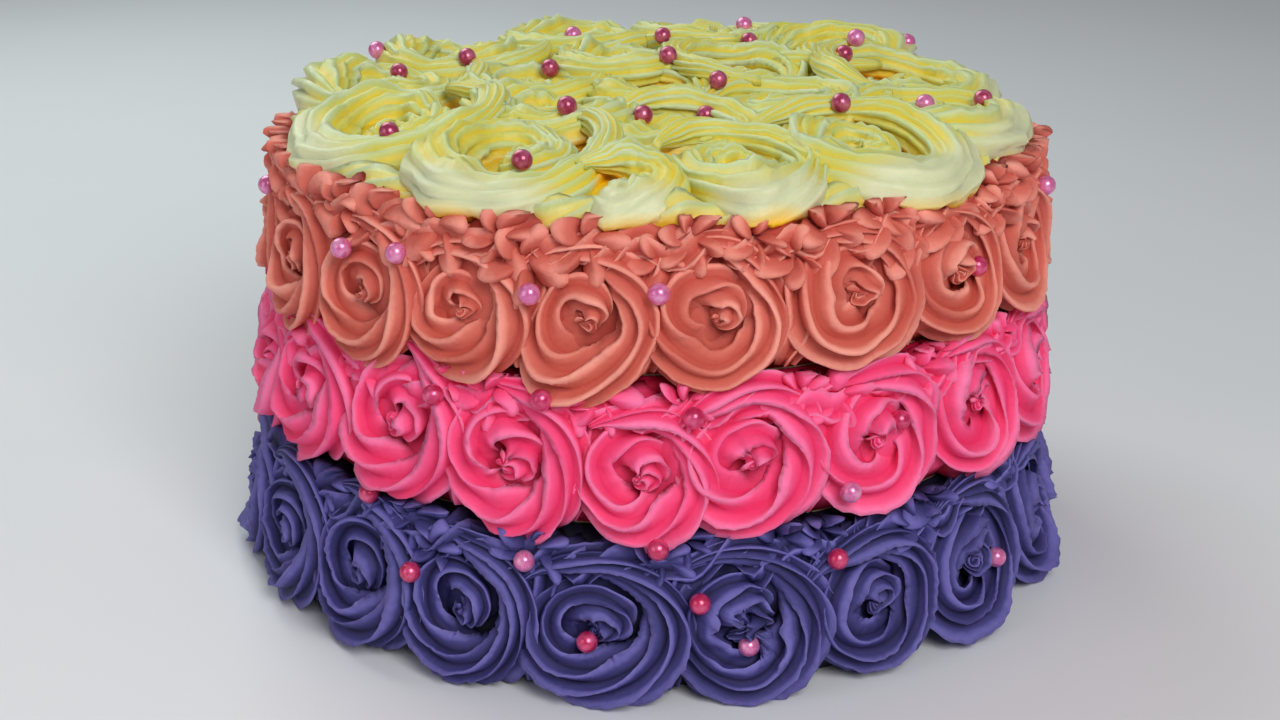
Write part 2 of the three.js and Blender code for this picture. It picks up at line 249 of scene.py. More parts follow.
@dataclass
class Batch:
    """Faces piped so far for one piece: grids of points that are joined into a single mesh."""

    points: list[np.ndarray] = field(default_factory=list)
    faces: list[np.ndarray] = field(default_factory=list)
    crest: list[np.ndarray] = field(default_factory=list)
    paleness: list[np.ndarray] = field(default_factory=list)
    # Each point's depth below its surroundings, which sets painted shade in its colour.
    cavity_shade: np.ndarray | None = None
    count: int = 0

    def all_points(self) -> np.ndarray:
        """Every point added so far."""
        return np.concatenate(self.points)

    def add_tube(self, rings: np.ndarray, crest: np.ndarray, paleness: np.ndarray) -> None:
        """Adds a closed skin through rings of points, with a fan over each end.

        Args:
            rings: Points, as rings x points of a ring x 3, each ring running the same way round.
            crest: How near each point is to a lip, 0 to 1, as rings x points.
            paleness: How pale the icing is at each point, 0 to 1, as rings x points.
        """
        ring_count, around = rings.shape[:2]
        index = np.arange(ring_count * around).reshape(ring_count, around) + self.count
        ahead = np.roll(index, -1, axis=1)
        quads = np.stack([index[:-1], ahead[:-1], ahead[1:], index[1:]], axis=-1).reshape(-1, 4)
        first = self.count + ring_count * around
        ends = []
        for ring, tip in ((0, first), (-1, first + 1)):
            tips = np.full(around, tip)
            order = (ahead[ring], index[ring]) if ring == 0 else (index[ring], ahead[ring])
            ends.append(np.stack([*order, tips, tips], axis=-1))
        self.points += [rings.reshape(-1, 3), rings[0].mean(axis=0)[None], rings[-1].mean(axis=0)[None]]
        self.crest += [crest.ravel(), crest[0].mean()[None], crest[-1].mean()[None]]
        self.paleness += [paleness.ravel(), paleness[0].mean()[None], paleness[-1].mean()[None]]
        self.faces += [quads, *ends]
        self.count = first + 2

    def piece(self, name: str, material: bpy.types.Material) -> bpy.types.Object:
        """Writes everything added so far as one smooth-shaded object.

        Args:
            name: The object's name.
            material: Its material.

        Returns:
            The new object, in metres.
        """
        points = self.all_points() * METRES
        corners = np.concatenate(self.faces)
        flat = corners.ravel()
        is_triangle = corners[:, 2] == corners[:, 3]
        keep = np.ones(corners.shape, bool)
        keep[is_triangle, 3] = False
        totals = np.where(is_triangle, 3, 4)
        loops = flat[keep.ravel()]
        mesh = bpy.data.meshes.new(name)
        mesh.vertices.add(len(points))
        mesh.vertices.foreach_set("co", points.astype(np.float32).ravel())
        mesh.loops.add(len(loops))
        mesh.loops.foreach_set("vertex_index", loops.astype(np.int32))
        mesh.polygons.add(len(totals))
        mesh.polygons.foreach_set("loop_start", (np.cumsum(totals) - totals).astype(np.int32))
        mesh.polygons.foreach_set("use_smooth", np.ones(len(totals), bool))
        cavity_shade = np.zeros(len(points)) if self.cavity_shade is None else self.cavity_shade
        stored = {CREST: np.concatenate(self.crest), PALENESS: np.concatenate(self.paleness), CAVITY_SHADE: cavity_shade}
        for label, values in stored.items():
            layer = mesh.attributes.new(label, "FLOAT", "POINT")
            layer.data.foreach_set("value", values.astype(np.float32))
        mesh.update(calc_edges=True)
        mesh.validate()
        mesh.materials.append(material)
        made = bpy.data.objects.new(name, mesh)
        bpy.context.scene.collection.objects.link(made)
        return made


class Signal:
    """A number that runs through a material's nodes, with arithmetic that adds Math nodes."""

    def __init__(self, sheet: "NodeSheet", socket: bpy.types.NodeSocket) -> None:
        """Wraps an output socket of one of the sheet's nodes."""
        self.sheet = sheet
        self.socket = socket

    def _math(self, operation: str, first: object, second: object) -> "Signal":
        """Adds one Math node and gives its result."""
        made = self.sheet.node("ShaderNodeMath", {"operation": operation}, {0: first, 1: second})
        return Signal(self.sheet, made.outputs[0])

    def __add__(self, other: object) -> "Signal":
        """This plus other."""
        return self._math("ADD", self, other)

    __radd__ = __add__

    def __sub__(self, other: object) -> "Signal":
        """This less other."""
        return self._math("SUBTRACT", self, other)

    def __rsub__(self, other: object) -> "Signal":
        """Other less this."""
        return self._math("SUBTRACT", other, self)

    def __mul__(self, other: object) -> "Signal":
        """This times other."""
        return self._math("MULTIPLY", self, other)

    __rmul__ = __mul__

    def held(self) -> "Signal":
        """This, kept between 0 and 1."""
        made = self.sheet.node("ShaderNodeClamp", {}, {"Value": self})
        return Signal(self.sheet, made.outputs[0])


class NodeSheet:
    """The nodes of one material."""

    MIX_FACTOR, MIX_FIRST, MIX_SECOND, MIX_RESULT = 0, 6, 7, 2

    def __init__(self, name: str) -> None:
        """Starts a material with a Principled shader and nothing else.

        Args:
            name: The material's name.
        """
        self.material = bpy.data.materials.new(name)
        self.material.use_nodes = True
        self.tree = self.material.node_tree
        self.tree.nodes.clear()
        self.shader = self.node("ShaderNodeBsdfPrincipled", {}, {})
        self.node("ShaderNodeOutputMaterial", {}, {"Surface": self.shader.outputs[0]})

    def node(self, kind: str, settings: dict[str, object], inputs: dict[int | str, object]) -> bpy.types.Node:
        """Adds a node.

        Args:
            kind: The node's type.
            settings: Its own settings, which are set first.
            inputs: A value, a socket or a Signal for each socket, by name or number.

        Returns:
            The node.
        """
        made = self.tree.nodes.new(kind)
        for key, value in settings.items():
            setattr(made, key, value)
        self.feed(made, inputs)
        return made

    def feed(self, target: bpy.types.Node, inputs: dict[int | str, object]) -> None:
        """Sets or links a node's sockets.

        Args:
            target: The node.
            inputs: A value, a socket or a Signal for each socket, by name or number.
        """
        for key, value in inputs.items():
            source = value.socket if isinstance(value, Signal) else value
            if isinstance(source, bpy.types.NodeSocket):
                self.tree.links.new(source, target.inputs[key])
            else:
                target.inputs[key].default_value = source

    def mixed(self, share: object, first: object, second: object) -> bpy.types.NodeSocket:
        """Mixes two colours.

        Args:
            share: How much of the second colour shows, a number or a Signal.
            first: The first colour, a value or a socket.
            second: The second colour, a value or a socket.

        Returns:
            The socket that holds the mixed colour.
        """
        inputs = {self.MIX_FACTOR: share, self.MIX_FIRST: first, self.MIX_SECOND: second}
        made = self.node("ShaderNodeMix", {"data_type": "RGBA"}, inputs)
        return made.outputs[self.MIX_RESULT]

    def attribute(self, name: str) -> Signal:
        """Reads a number that is stored on the mesh's points."""
        made = self.node("ShaderNodeAttribute", {"attribute_name": name}, {})
        return Signal(self, made.outputs["Fac"])

    def noise(self, scale: float, detail: float, roughness: float = 0.5) -> Signal:
        """Makes cloudy noise in the object's own space.

        Args:
            scale: How many lumps there are to a metre.
            detail: How many finer octaves are added.
            roughness: How strong the finer octaves are.

        Returns:
            The noise, whose mean is about one half.
        """
        place = self.node("ShaderNodeTexCoord", {}, {})
        made = self.node(
            "ShaderNodeTexNoise",
            {},
            {"Vector": place.outputs["Object"], "Scale": scale, "Detail": detail, "Roughness": roughness},
        )
        return Signal(self, made.outputs[0])

    def bump(self, strength: float, distance: float, height: Signal) -> bpy.types.NodeSocket:
        """Turns a height into fine relief.

        Args:
            strength: How much of the relief shows.
            distance: How high the relief is, in metres.
            height: The height, as a share.

        Returns:
            The socket that holds the bent normal.
        """
        made = self.node("ShaderNodeBump", {}, {"Strength": strength, "Distance": distance, "Height": height})
        return made.outputs[0]


@dataclass(frozen=True)
class IcingFinish:
    """Buttercream or cream: one colour of painted shade in its grooves, one on its faces and one of painted
    highlight on its thin lips.

    The edge colour is for the pale fringe that hangs over the side, and the colour for deep gaps is painted
    shade.
    """

    name: str
    # Painted shade: the colour in the troughs, darker or more saturated than the faces.
    groove_shade: Colour
    face: Colour
    # Painted highlight: the colour on the thin lips, paler than the faces.
    lip: Colour
    edge: Colour
    # Painted shade: the colour of deep gaps between and inside the rosettes.
    cavity_shade: Colour
    roughness: float = 0.66
    roughness_spread: float = 0.12
    gloss: float = 0.22
    bleed: float = 0.04
    bleed_reach: float = 1.0
    bleed_radius: tuple[float, float, float] = (0.003, 0.0022, 0.0012)
    # How the painted groove shade gives way to the face colour, and where the painted highlight on a lip
    # begins.
    face_gain: float = 1.3
    lip_highlight_gain: float = 2.4
    lip_highlight_start: float = 1.4
    # How strongly a point's depth paints shade into its colour.
    cavity_shade_gain: float = 1.15
    mottle: float = 0.5
    cloud_scale: float = 60.0
    streak_scale: float = 420.0
    lump_scale: float = 500.0
    grain_scale: float = 2600.0
    grain_roughness: float = 0.65
    grain_share: float = 0.6
    pore_height: float = 0.0008
    pore_strength: float = 0.5

    def material(self) -> bpy.types.Material:
        """Makes the material.

        Returns:
            The icing's material.
        """
        sheet = NodeSheet(self.name)
        crest = sheet.attribute(CREST)
        clouds = sheet.noise(self.cloud_scale, detail=3.0)
        streaks = sheet.noise(self.streak_scale, detail=2.0)
        # Painted light: troughs take the groove colour as painted shade, and lips take the lip colour as a
        # painted highlight.
        rise = (crest * self.face_gain + (clouds - NOISE_MEAN) * self.mottle).held()
        tip = (crest * self.lip_highlight_gain - self.lip_highlight_start + (streaks - NOISE_MEAN) * self.mottle).held()
        shaded = sheet.mixed(rise, self.groove_shade, self.face)
        lit = sheet.mixed(tip, shaded, self.lip)
        paled = sheet.mixed(sheet.attribute(PALENESS).held(), lit, self.edge)
        # Painted shade: points that lie deep below their surroundings take the cavity colour.
        deep = (sheet.attribute(CAVITY_SHADE) * self.cavity_shade_gain).held()
        grain = sheet.noise(self.grain_scale, detail=3.0, roughness=self.grain_roughness)
        pores = grain * self.grain_share + sheet.noise(self.lump_scale, detail=2.0)
        sheet.feed(
            sheet.shader,
            {
                "Base Color": sheet.mixed(deep, paled, self.cavity_shade),
                "Roughness": self.roughness + (grain - NOISE_MEAN) * self.roughness_spread,
                "Specular IOR Level": self.gloss,
                "Subsurface Weight": self.bleed,
                "Subsurface Radius": self.bleed_radius,
                "Subsurface Scale": self.bleed_reach,
                "Normal": sheet.bump(self.pore_strength, self.pore_height, pores),
            },
        )
        return sheet.material


@dataclass(frozen=True)
class PearlFinish:
    """A pearlescent sugar shell: satin, with a paler painted sheen in random cloudy patches and fine cloudy
    streaks.
    """

    name: str
    body: Colour
    # Painted sheen: the paler pearly colour.
    painted_sheen: Colour
    cloud_scale: float = 380.0
    painted_sheen_start: float = 0.42
    painted_sheen_gain: float = 3.0
    metal: float = 0.35
    roughness: float = 0.28
    roughness_spread: float = 0.2
    coat: float = 0.5
    coat_roughness: float = 0.15
    grain_scale: float = 1800.0
    grain_height: float = 0.0001
    grain_strength: float = 0.3

    def material(self) -> bpy.types.Material:
        """Makes the material.

        Returns:
            The pearl's material.
        """
        sheet = NodeSheet(self.name)
        clouds = sheet.noise(self.cloud_scale, detail=3.0)
        # Painted sheen: paler patches of the pearl's colour, laid at random by cloudy noise.
        share = ((clouds - self.painted_sheen_start) * self.painted_sheen_gain).held()
        grain = sheet.noise(self.grain_scale, detail=2.0)
        sheet.feed(
            sheet.shader,
            {
                "Base Color": sheet.mixed(share, self.body, self.painted_sheen),
                "Metallic": self.metal,
                "Roughness": self.roughness + (clouds - NOISE_MEAN) * self.roughness_spread,
                "Coat Weight": self.coat,
                "Coat Roughness": self.coat_roughness,
                "Normal": sheet.bump(self.grain_strength, self.grain_height, grain),
            },
        )
        return sheet.material


@dataclass(frozen=True)
class PlainFinish:
    """A plain matte surface with a faint mottle, for the floor and the cake under the icing."""

    name: str
    light: Colour
    shade: Colour
    scale: float
    roughness: float
    grain_fineness: float = 12.0
    grain_height: float = 0.0004
    grain_strength: float = 0.25

    def material(self) -> bpy.types.Material:
        """Makes the material.

        Returns:
            The plain material.
        """
        sheet = NodeSheet(self.name)
        mottle = sheet.noise(self.scale, detail=4.0)
        grain = sheet.noise(self.scale * self.grain_fineness, detail=3.0)
        sheet.feed(
            sheet.shader,
            {
                "Base Color": sheet.mixed(mottle, self.shade, self.light),
                "Roughness": self.roughness,
                "Normal": sheet.bump(self.grain_strength, self.grain_height, grain),
            },
        )
        return sheet.material


# In each finish the groove and cavity colours are painted shade and the lip colour is a painted highlight.
ICING_FINISHES = {
    IcingColour.VIOLET: IcingFinish(
        "violet_icing",
        groove_shade=linear(27, 23, 64),
        face=linear(79, 77, 144),
        lip=linear(124, 118, 194),
        edge=linear(110, 104, 176),
        cavity_shade=linear(10, 8, 30),
        roughness=0.6,
    ),
    IcingColour.PINK: IcingFinish(
        "pink_icing",
        groove_shade=linear(232, 48, 104),
        face=linear(253, 97, 150),
        lip=linear(255, 130, 178),
        edge=linear(255, 110, 160),
        cavity_shade=linear(170, 10, 52),
    ),
    IcingColour.PEACH: IcingFinish(
        "peach_icing",
        groove_shade=linear(190, 78, 66),
        face=linear(218, 118, 103),
        lip=linear(246, 160, 144),
        edge=linear(240, 150, 134),
        cavity_shade=linear(138, 32, 26),
    ),
    IcingColour.YELLOW: IcingFinish(
        "yellow_icing",
        groove_shade=linear(234, 208, 46),
        face=linear(196, 207, 122),
        lip=linear(200, 212, 166),
        edge=linear(212, 216, 174),
        cavity_shade=linear(244, 190, 10),
        roughness=0.4,
        bleed=0.5,
        bleed_reach=0.5,
        gloss=0.5,
        pore_height=0.0004,
    ),
}
# Each pearl's second colour is a painted pearly sheen.
PEARL_FINISHES = {
    PearlColour.PALE: PearlFinish("pale_pearl", body=linear(216, 108, 166), painted_sheen=linear(242, 168, 208)),
    PearlColour.ROSE: PearlFinish("rose_pearl", body=linear(198, 38, 92), painted_sheen=linear(234, 98, 148)),
    PearlColour.DARK: PearlFinish("dark_pearl", body=linear(166, 48, 90), painted_sheen=linear(212, 112, 146)),
}
CRUMB_FINISH = PlainFinish(
    "crumb_coat", light=linear(206, 178, 150), shade=linear(176, 142, 112), scale=90.0, roughness=0.7
)
FLOOR_FINISH = PlainFinish(
    "floor", light=linear(226, 228, 232), shade=linear(220, 222, 227), scale=6.0, roughness=0.6
)


@dataclass(frozen=True)
class SideWall:
    """The cake's side, which narrows towards the top and carries the rows of rosettes.

    It swells outwards at one angle, the more the higher, and draws in there at the foot.
    """

    axis_x: float
    axis_y: float
    height: float
    foot_radius: float = 122.5
    top_radius: float = 110.0
    floor_gap: float = 0.2
    swell: float = 4.0
    swell_angle: float = 88.0
    swell_width: float = 26.0
    swell_level: float = 72.0
    swell_height: float = 60.0

    def radius(self, level: np.ndarray | float) -> np.ndarray | float:
        """The wall's radius at a height."""
        return self.foot_radius + (self.top_radius - self.foot_radius) * level / self.height

    def place(self, angle: float, middle: float, local: np.ndarray) -> np.ndarray:
        """Bends what was piped flat onto the wall.

        Args:
            angle: The angle of the piped thing's middle.
            middle: The height of its middle.
            local: Its points, as along, up and out from the wall.

        Returns:
            The points in the frame.
        """
        level = np.maximum(middle + local[..., 1], self.floor_gap)
        turn = math.radians(angle) + local[..., 0] / self.radius(middle)
        bell = np.exp(-(((turn - math.radians(self.swell_angle)) / math.radians(self.swell_width)) ** 2))
        swell = self.swell * bell * (level - self.swell_level) / self.swell_height
        reach = self.radius(level) + swell + local[..., 2]
        x = self.axis_x + reach * np.sin(turn)
        y = self.axis_y - reach * np.cos(turn)
        return np.stack([x, y, level], axis=-1)

    def unrolled(self, points: np.ndarray) -> tuple[np.ndarray, np.ndarray]:
        """Unrolls points near the wall.

        Args:
            points: The points in the frame.

        Returns:
            Their place on the unrolled wall, as along and up, and how far they stand out of it.
        """
        x, y = points[:, 0] - self.axis_x, points[:, 1] - self.axis_y
        along = np.arctan2(x, -y) * self.foot_radius
        return np.stack([along, points[:, 2]], axis=-1), np.hypot(x, y) - self.radius(points[:, 2])


@dataclass(frozen=True)
class TopFace:
    """The cake's top, flat in the middle and sagging a little over its edge."""

    axis_x: float
    axis_y: float
    level: float
    sag_start: float = 104.0
    sag_radius: float = 30.0
    steepest_radians: float = 0.5

    def place(self, angle: float, distance: float, local: np.ndarray) -> np.ndarray:
        """Lays what was piped flat onto the top.

        Args:
            angle: The angle of the piped thing's middle.
            distance: How far its middle is from the cake's axis.
            local: Its points, as along, inwards and out from the top.

        Returns:
            The points in the frame.
        """
        turn = math.radians(angle)
        outward = distance - local[..., 1]
        flat_x = outward * math.sin(turn) + local[..., 0] * math.cos(turn)
        flat_y = -outward * math.cos(turn) + local[..., 0] * math.sin(turn)
        reach = np.hypot(flat_x, flat_y) + TINY
        over = np.maximum(reach - self.sag_start, 0)
        bend = np.minimum(over / self.sag_radius, self.steepest_radians)
        straight = over - bend * self.sag_radius
        inner = np.minimum(reach, self.sag_start)
        new_reach = inner + self.sag_radius * np.sin(bend) + straight * np.cos(bend)
        new_reach = new_reach + local[..., 2] * np.sin(bend)
        drop = self.sag_radius * (1 - np.cos(bend)) + straight * np.sin(bend)
        x = self.axis_x + flat_x * (new_reach / reach)
        y = self.axis_y + flat_y * (new_reach / reach)
        return np.stack([x, y, self.level - drop + local[..., 2] * np.cos(bend)], axis=-1)


@dataclass(frozen=True)
class StarNozzle:
    """The nozzle's star, which gives the rope of icing its thin lips and wide troughs.

    The trough is how far out a trough lies, as a share of a lip's reach. The offsets are where the points of
    a tooth lie, in teeth from its lip. The hollow and the edge shape the lip, which leans to one side.
    """

    teeth: int = 7
    trough: float = 0.52
    hollow: float = 2.0
    edge: float = 20.0
    edge_share: float = 0.34
    lean: float = 0.3
    lean_power: float = 1.5
    offsets: tuple[float, ...] = (-0.42, -0.2, -0.07, 0.0, 0.07, 0.2, 0.42)

    def points(self) -> tuple[np.ndarray, np.ndarray, np.ndarray]:
        """Lists the points round the star.

        Returns:
            Each point's angle in radians, how far up a lip it is from 0 to 1, and its tooth's number.
        """
        offset = np.tile(self.offsets, self.teeth)
        tooth = np.repeat(np.arange(self.teeth), len(self.offsets))
        wave = np.abs(np.cos(math.pi * offset))
        lip = (1 - self.edge_share) * wave**self.hollow + self.edge_share * wave**self.edge
        angle = (tooth + offset + self.lean * lip**self.lean_power) * FULL_TURN / self.teeth
        return angle, lip, tooth


PETAL_NOZZLE = StarNozzle(teeth=8, trough=0.55, offsets=(-0.5, -0.24, -0.08, 0.08, 0.24))
STROKE_NOZZLE = StarNozzle(offsets=(-0.5, -0.22, -0.07, 0.07, 0.22))
BORDER_NOZZLE = StarNozzle(teeth=6, offsets=(-0.5, -0.25, 0.0, 0.25))
TOP_NOZZLE = StarNozzle(
    teeth=13, trough=0.7, hollow=1.0, edge=4.0, edge_share=0.3, lean=0.2, offsets=(-0.5, -0.18, 0.18)
)


@dataclass(frozen=True)
class CavityMap:
    """How deep each point of piped icing lies below what surrounds it, found on a grid laid over the cake, to
    paint shade into the icing's colour.

    The cell is the side of a grid cell, the blur is how far round a point its surroundings reach, and the
    full depth is how deep a point lies where it is fully dark.
    """

    cell: float
    blur: float
    full_depth: float
    least_weight: float = 1e-6

    def _smoothed(self, grid: np.ndarray) -> np.ndarray:
        """Blurs a grid both ways with a bell curve.

        Args:
            grid: The grid's numbers.

        Returns:
            The blurred grid.
        """
        half = round(2 * self.blur / self.cell)
        bell = np.exp(-0.5 * (np.arange(-half, half + 1) * self.cell / self.blur) ** 2)
        bell /= bell.sum()
        for axis in (0, 1):
            grid = np.apply_along_axis(lambda row: np.convolve(row, bell, mode="same"), axis, grid)
        return grid

    def shade(
        self, batches: Sequence[Batch], flats: Sequence[np.ndarray], outs: Sequence[np.ndarray]
    ) -> None:
        """Gives every point its depth, which paints shade into its colour, from -1, proud, through 0, open,
        to 1, deep in a hollow.

        Args:
            batches: The batches, which share one surface.
            flats: For each batch, its points' two coordinates on the unrolled surface.
            outs: For each batch, how far its points stand out of that surface.
        """
        flat, out = np.concatenate(flats), np.concatenate(outs)
        low = flat.min(axis=0)
        index = ((flat - low) / self.cell).astype(int)
        shape = index.max(axis=0) + 1
        top = np.full(shape, -np.inf)
        np.maximum.at(top, (index[:, 0], index[:, 1]), out)
        filled = np.isfinite(top)
        weight = self._smoothed(filled.astype(float)) + self.least_weight
        around = self._smoothed(np.where(filled, top, 0.0)) / weight
        depth = np.clip((around[index[:, 0], index[:, 1]] - out) / self.full_depth, -1, 1)
        shares = np.split(depth, np.cumsum([len(part) for part in flats])[:-1])
        for batch, share in zip(batches, shares):
            batch.cavity_shade = share


# The grids on which painted shade is found for the side and for the top.
SIDE_CAVITIES = CavityMap(cell=0.7, blur=3.2, full_depth=4.2)
TOP_CAVITIES = CavityMap(cell=0.8, blur=3.6, full_depth=6.0)


@dataclass
class Rosette:
    """One rosette: a rope of icing piped anticlockwise from its middle outwards, ending in a tail.

    A place along the rope is given by how many turns are left to pipe there, which is 0 at the tail's tip.
    The tail's knots are such places, and the start's knots are turns that have been piped. The dome is how
    far the middle stands out, the nest how far the inner turns sink, the soft start how many turns the lips
    take to grow, and torn how much the middle is crumpled.
    """

    radius: float
    thickness: float
    tail_angle: float
    turns: float
    twist: float
    rope: float
    wide: float
    tall: float
    tip_forward: float
    ragged: Ripple
    steps_per_turn: int
    dome: float = 0.0
    side_fill: float = 0.0
    soft_start: float = 0.7
    nest: float = 1.0
    torn: float = 0.0
    step_crowding: float = 0.7
    # The rope's girth along it, in shares of its usual girth.
    tail_knots: tuple[float, ...] = (0.0, 0.03, 0.14, 0.3, 0.5, 0.72, 0.95, 1.3)
    tail_girths: tuple[float, ...] = (0.12, 0.34, 0.56, 0.74, 0.94, 1.1, 1.0, 0.76)
    start_knots: tuple[float, ...] = (0.3, 0.1, 0.0)
    start_girths: tuple[float, ...] = (0.54, 0.42, 0.1)
    # How far the spiral runs outside the rosette's radius, in shares of it, and inside it where below 0.
    reach_knots: tuple[float, ...] = (0.0, 0.1, 0.3, 0.85, 1.2)
    reach_start: float = 0.1
    reach_shares: tuple[float, ...] = (0.08, 0.03, 0.0, -0.02, -0.48, -1.0)
    reach_rounding: int = 15
    reach_girths: float = 0.88
    least_reach: float = 0.9
    # How far the rope's middle lies below the rosette's face, in girths, and what sinks it further.
    lift_knots: tuple[float, ...] = (0.0, 0.2, 0.5, 0.95, 1.3)
    lift_start_knots: tuple[float, ...] = (0.4, 0.0)
    lift_girths: tuple[float, ...] = (1.1, 1.08, 1.02, 1.04, 1.0, 1.1, 1.5)
    tail_drop: float = 3.0
    tail_drop_turns: float = 0.12
    nest_start: float = 0.8
    nest_outside: float = 0.9
    # The hand's unsteadiness along the rope, and how its lips differ and fade at the ends.
    heave: Ripple = Ripple(0.6, 0.9, start=1.0)
    wander: Ripple = Ripple(0.6, 2.1)
    pulse: Ripple = Ripple(0.03, 5.0)
    ovality: Ripple = Ripple(0.05, 1.0)
    girth_sway: Ripple = Ripple(0.07, 1.7, start=2.0)
    twist_drift: Ripple = Ripple(0.15, 1.3)
    lip_strength: Ripple = Ripple(0.28, 0.9, 2.3)
    lip_sway: Ripple = Ripple(0.09, 1.6, 1.9)
    tail_fade: Ramp = Ramp(0.0, 0.1, least=0.25)
    start_fade_least: float = 0.3
    # The smoothing of the rope's outer side, round the rope and along it.
    fill_tilt_radians: float = 0.75
    fill_around: Ramp = Ramp(0.35, 0.3)
    fill_along: Ramp = Ramp(1.1, -0.2)
    fill_share: float = 0.9
    # The crumpling of the middle, which fades outwards over a share of the radius.
    tear_start: float = 1.4
    tear_spread: float = 0.42
    tear_waves: int = 7
    tear_rate: float = 0.6
    tear_up_rate: float = 0.7
    tear_out_rate: float = 0.5
    tear_side_share: float = 0.6

    def course(self, left: np.ndarray) -> tuple[np.ndarray, np.ndarray, np.ndarray]:
        """Leads the rope from the middle of the rosette to its tail.

        Args:
            left: How many turns are left at each step.

        Returns:
            The rope's girth, its distance from the rosette's middle, and its height, at each step.
        """
        start_knots = [self.turns - knot for knot in self.start_knots]
        girths = (*self.tail_girths, *self.start_girths)
        girth = self.rope * smooth_line(left, [*self.tail_knots, *start_knots], girths)
        knots = [*self.reach_knots, self.turns - self.reach_start]
        shrink = np.array(self.reach_shares) * self.radius
        outer = smooth_line(left, knots, shrink, self.reach_rounding)
        reach = np.maximum(self.radius + outer - self.reach_girths * girth, self.least_reach)
        knots = [*self.lift_knots, *(self.turns - knot for knot in self.lift_start_knots)]
        lift = self.thickness - girth * smooth_line(left, knots, self.lift_girths)
        lift = lift - self.tail_drop * np.clip(1 - left / self.tail_drop_turns, 0, 1)
        lift = lift - self.nest * Ramp(self.nest_start, self.turns - self.nest_outside).of(left)
        return girth, reach, lift

    def filled(self, profile: np.ndarray, around: np.ndarray, left: np.ndarray) -> np.ndarray:
        """Smooths the troughs over on the rope's outer side, where cream was dragged along the edge.

        Args:
            profile: The rope's profile, as steps x points.
            around: The angle of each point round the rope.
            left: How many turns are left at each step.

        Returns:
            The profile with its outer side filled.
        """
        outward = self.fill_around.of(np.cos(around + self.fill_tilt_radians))
        outward = outward * self.fill_along.of(left)[:, None]
        return profile + self.fill_share * outward * (self.side_fill - profile)

    def pipe(self, nozzle: StarNozzle, chance: np.random.Generator) -> tuple[np.ndarray, np.ndarray]:
        """Pipes the rosette flat.

        Args:
            nozzle: The star nozzle.
            chance: The seeded source of random numbers.

        Returns:
            The rope's points as rings x points x (along, up, out), and each point's share up a lip.
        """
        steps = round(self.turns * self.steps_per_turn)
        left = self.turns * (1 - np.linspace(0, 1, steps) ** self.step_crowding)
        heading = math.radians(self.tail_angle) - FULL_TURN * left
        girth, reach, lift = self.course(left)
        oval, knobby = Wobble(chance), Wobble(chance)
        reach = reach * (1 + self.ovality.of(oval, heading)) + self.wander.of(knobby, heading)
        girth = girth * (1 + self.girth_sway.of(oval, heading) + self.pulse.of(knobby, heading))
        lift = lift + self.heave.of(knobby, heading)

        angle, lip, tooth = nozzle.points()
        start = chance.uniform(0, FULL_TURN)
        drift = start + self.twist * (heading - heading[0]) + self.twist_drift.of(oval, heading)
        strength_wave, edge_wave, sway = Wobble(chance), Wobble(chance, RAGGED_WAVES), Wobble(chance)
        strength = 1 + self.lip_strength.of(strength_wave, heading[:, None], tooth[None])
        travelled = np.cumsum(np.abs(reach) * np.gradient(heading))
        ragged = self.ragged.of(edge_wave, travelled[:, None], tooth[None]) * lip**2
        start_fade = Ramp(0.0, self.soft_start, self.start_fade_least)
        faded = (self.tail_fade.of(left) * start_fade.of(self.turns - left))[:, None]
        profile = nozzle.trough + (1 - nozzle.trough) * lip[None] * strength * faded + ragged / self.rope
        around = angle[None] + drift[:, None] + self.lip_sway.of(sway, heading[:, None], tooth[None]) * lip
        if self.side_fill:
            profile = self.filled(profile, around, left)

        out = lift[:, None] + girth[:, None] * profile * np.sin(around)
        run = reach[:, None] + girth[:, None] * profile * np.cos(around)
        along = self.wide * run * np.cos(heading)[:, None]
        up = self.tall * run * np.sin(heading)[:, None]
        out = out - self.tip_forward * up / self.radius
        out = out + self.dome * (1 - np.hypot(along, up) / self.radius)
        if self.torn:
            along, out = self.tear(along, up, out, chance)
        crest = np.clip(lip[None] * strength, 0, 1) + np.zeros_like(out)
        return np.stack([along, up, out], axis=-1), crest

    def tear(
        self, along: np.ndarray, up: np.ndarray, out: np.ndarray, chance: np.random.Generator
    ) -> tuple[np.ndarray, np.ndarray]:
        """Crumples the folds in the rosette's middle.

        Args:
            along: Each point's place along the wall.
            up: Each point's place up the wall.
            out: How far each point stands out.
            chance: The seeded source of random numbers.

        Returns:
            The new places along the wall and out of it.
        """
        middle = np.clip(self.tear_start - np.hypot(along, up) / (self.tear_spread * self.radius), 0, 1)
        outwards, sideways = Wobble(chance, self.tear_waves), Wobble(chance, self.tear_waves)
        out = out + self.torn * middle * outwards.at(self.tear_rate * along, self.tear_rate * up)
        folds = sideways.at(self.tear_up_rate * up, self.tear_out_rate * out)
        return along + self.tear_side_share * self.torn * middle * folds, out


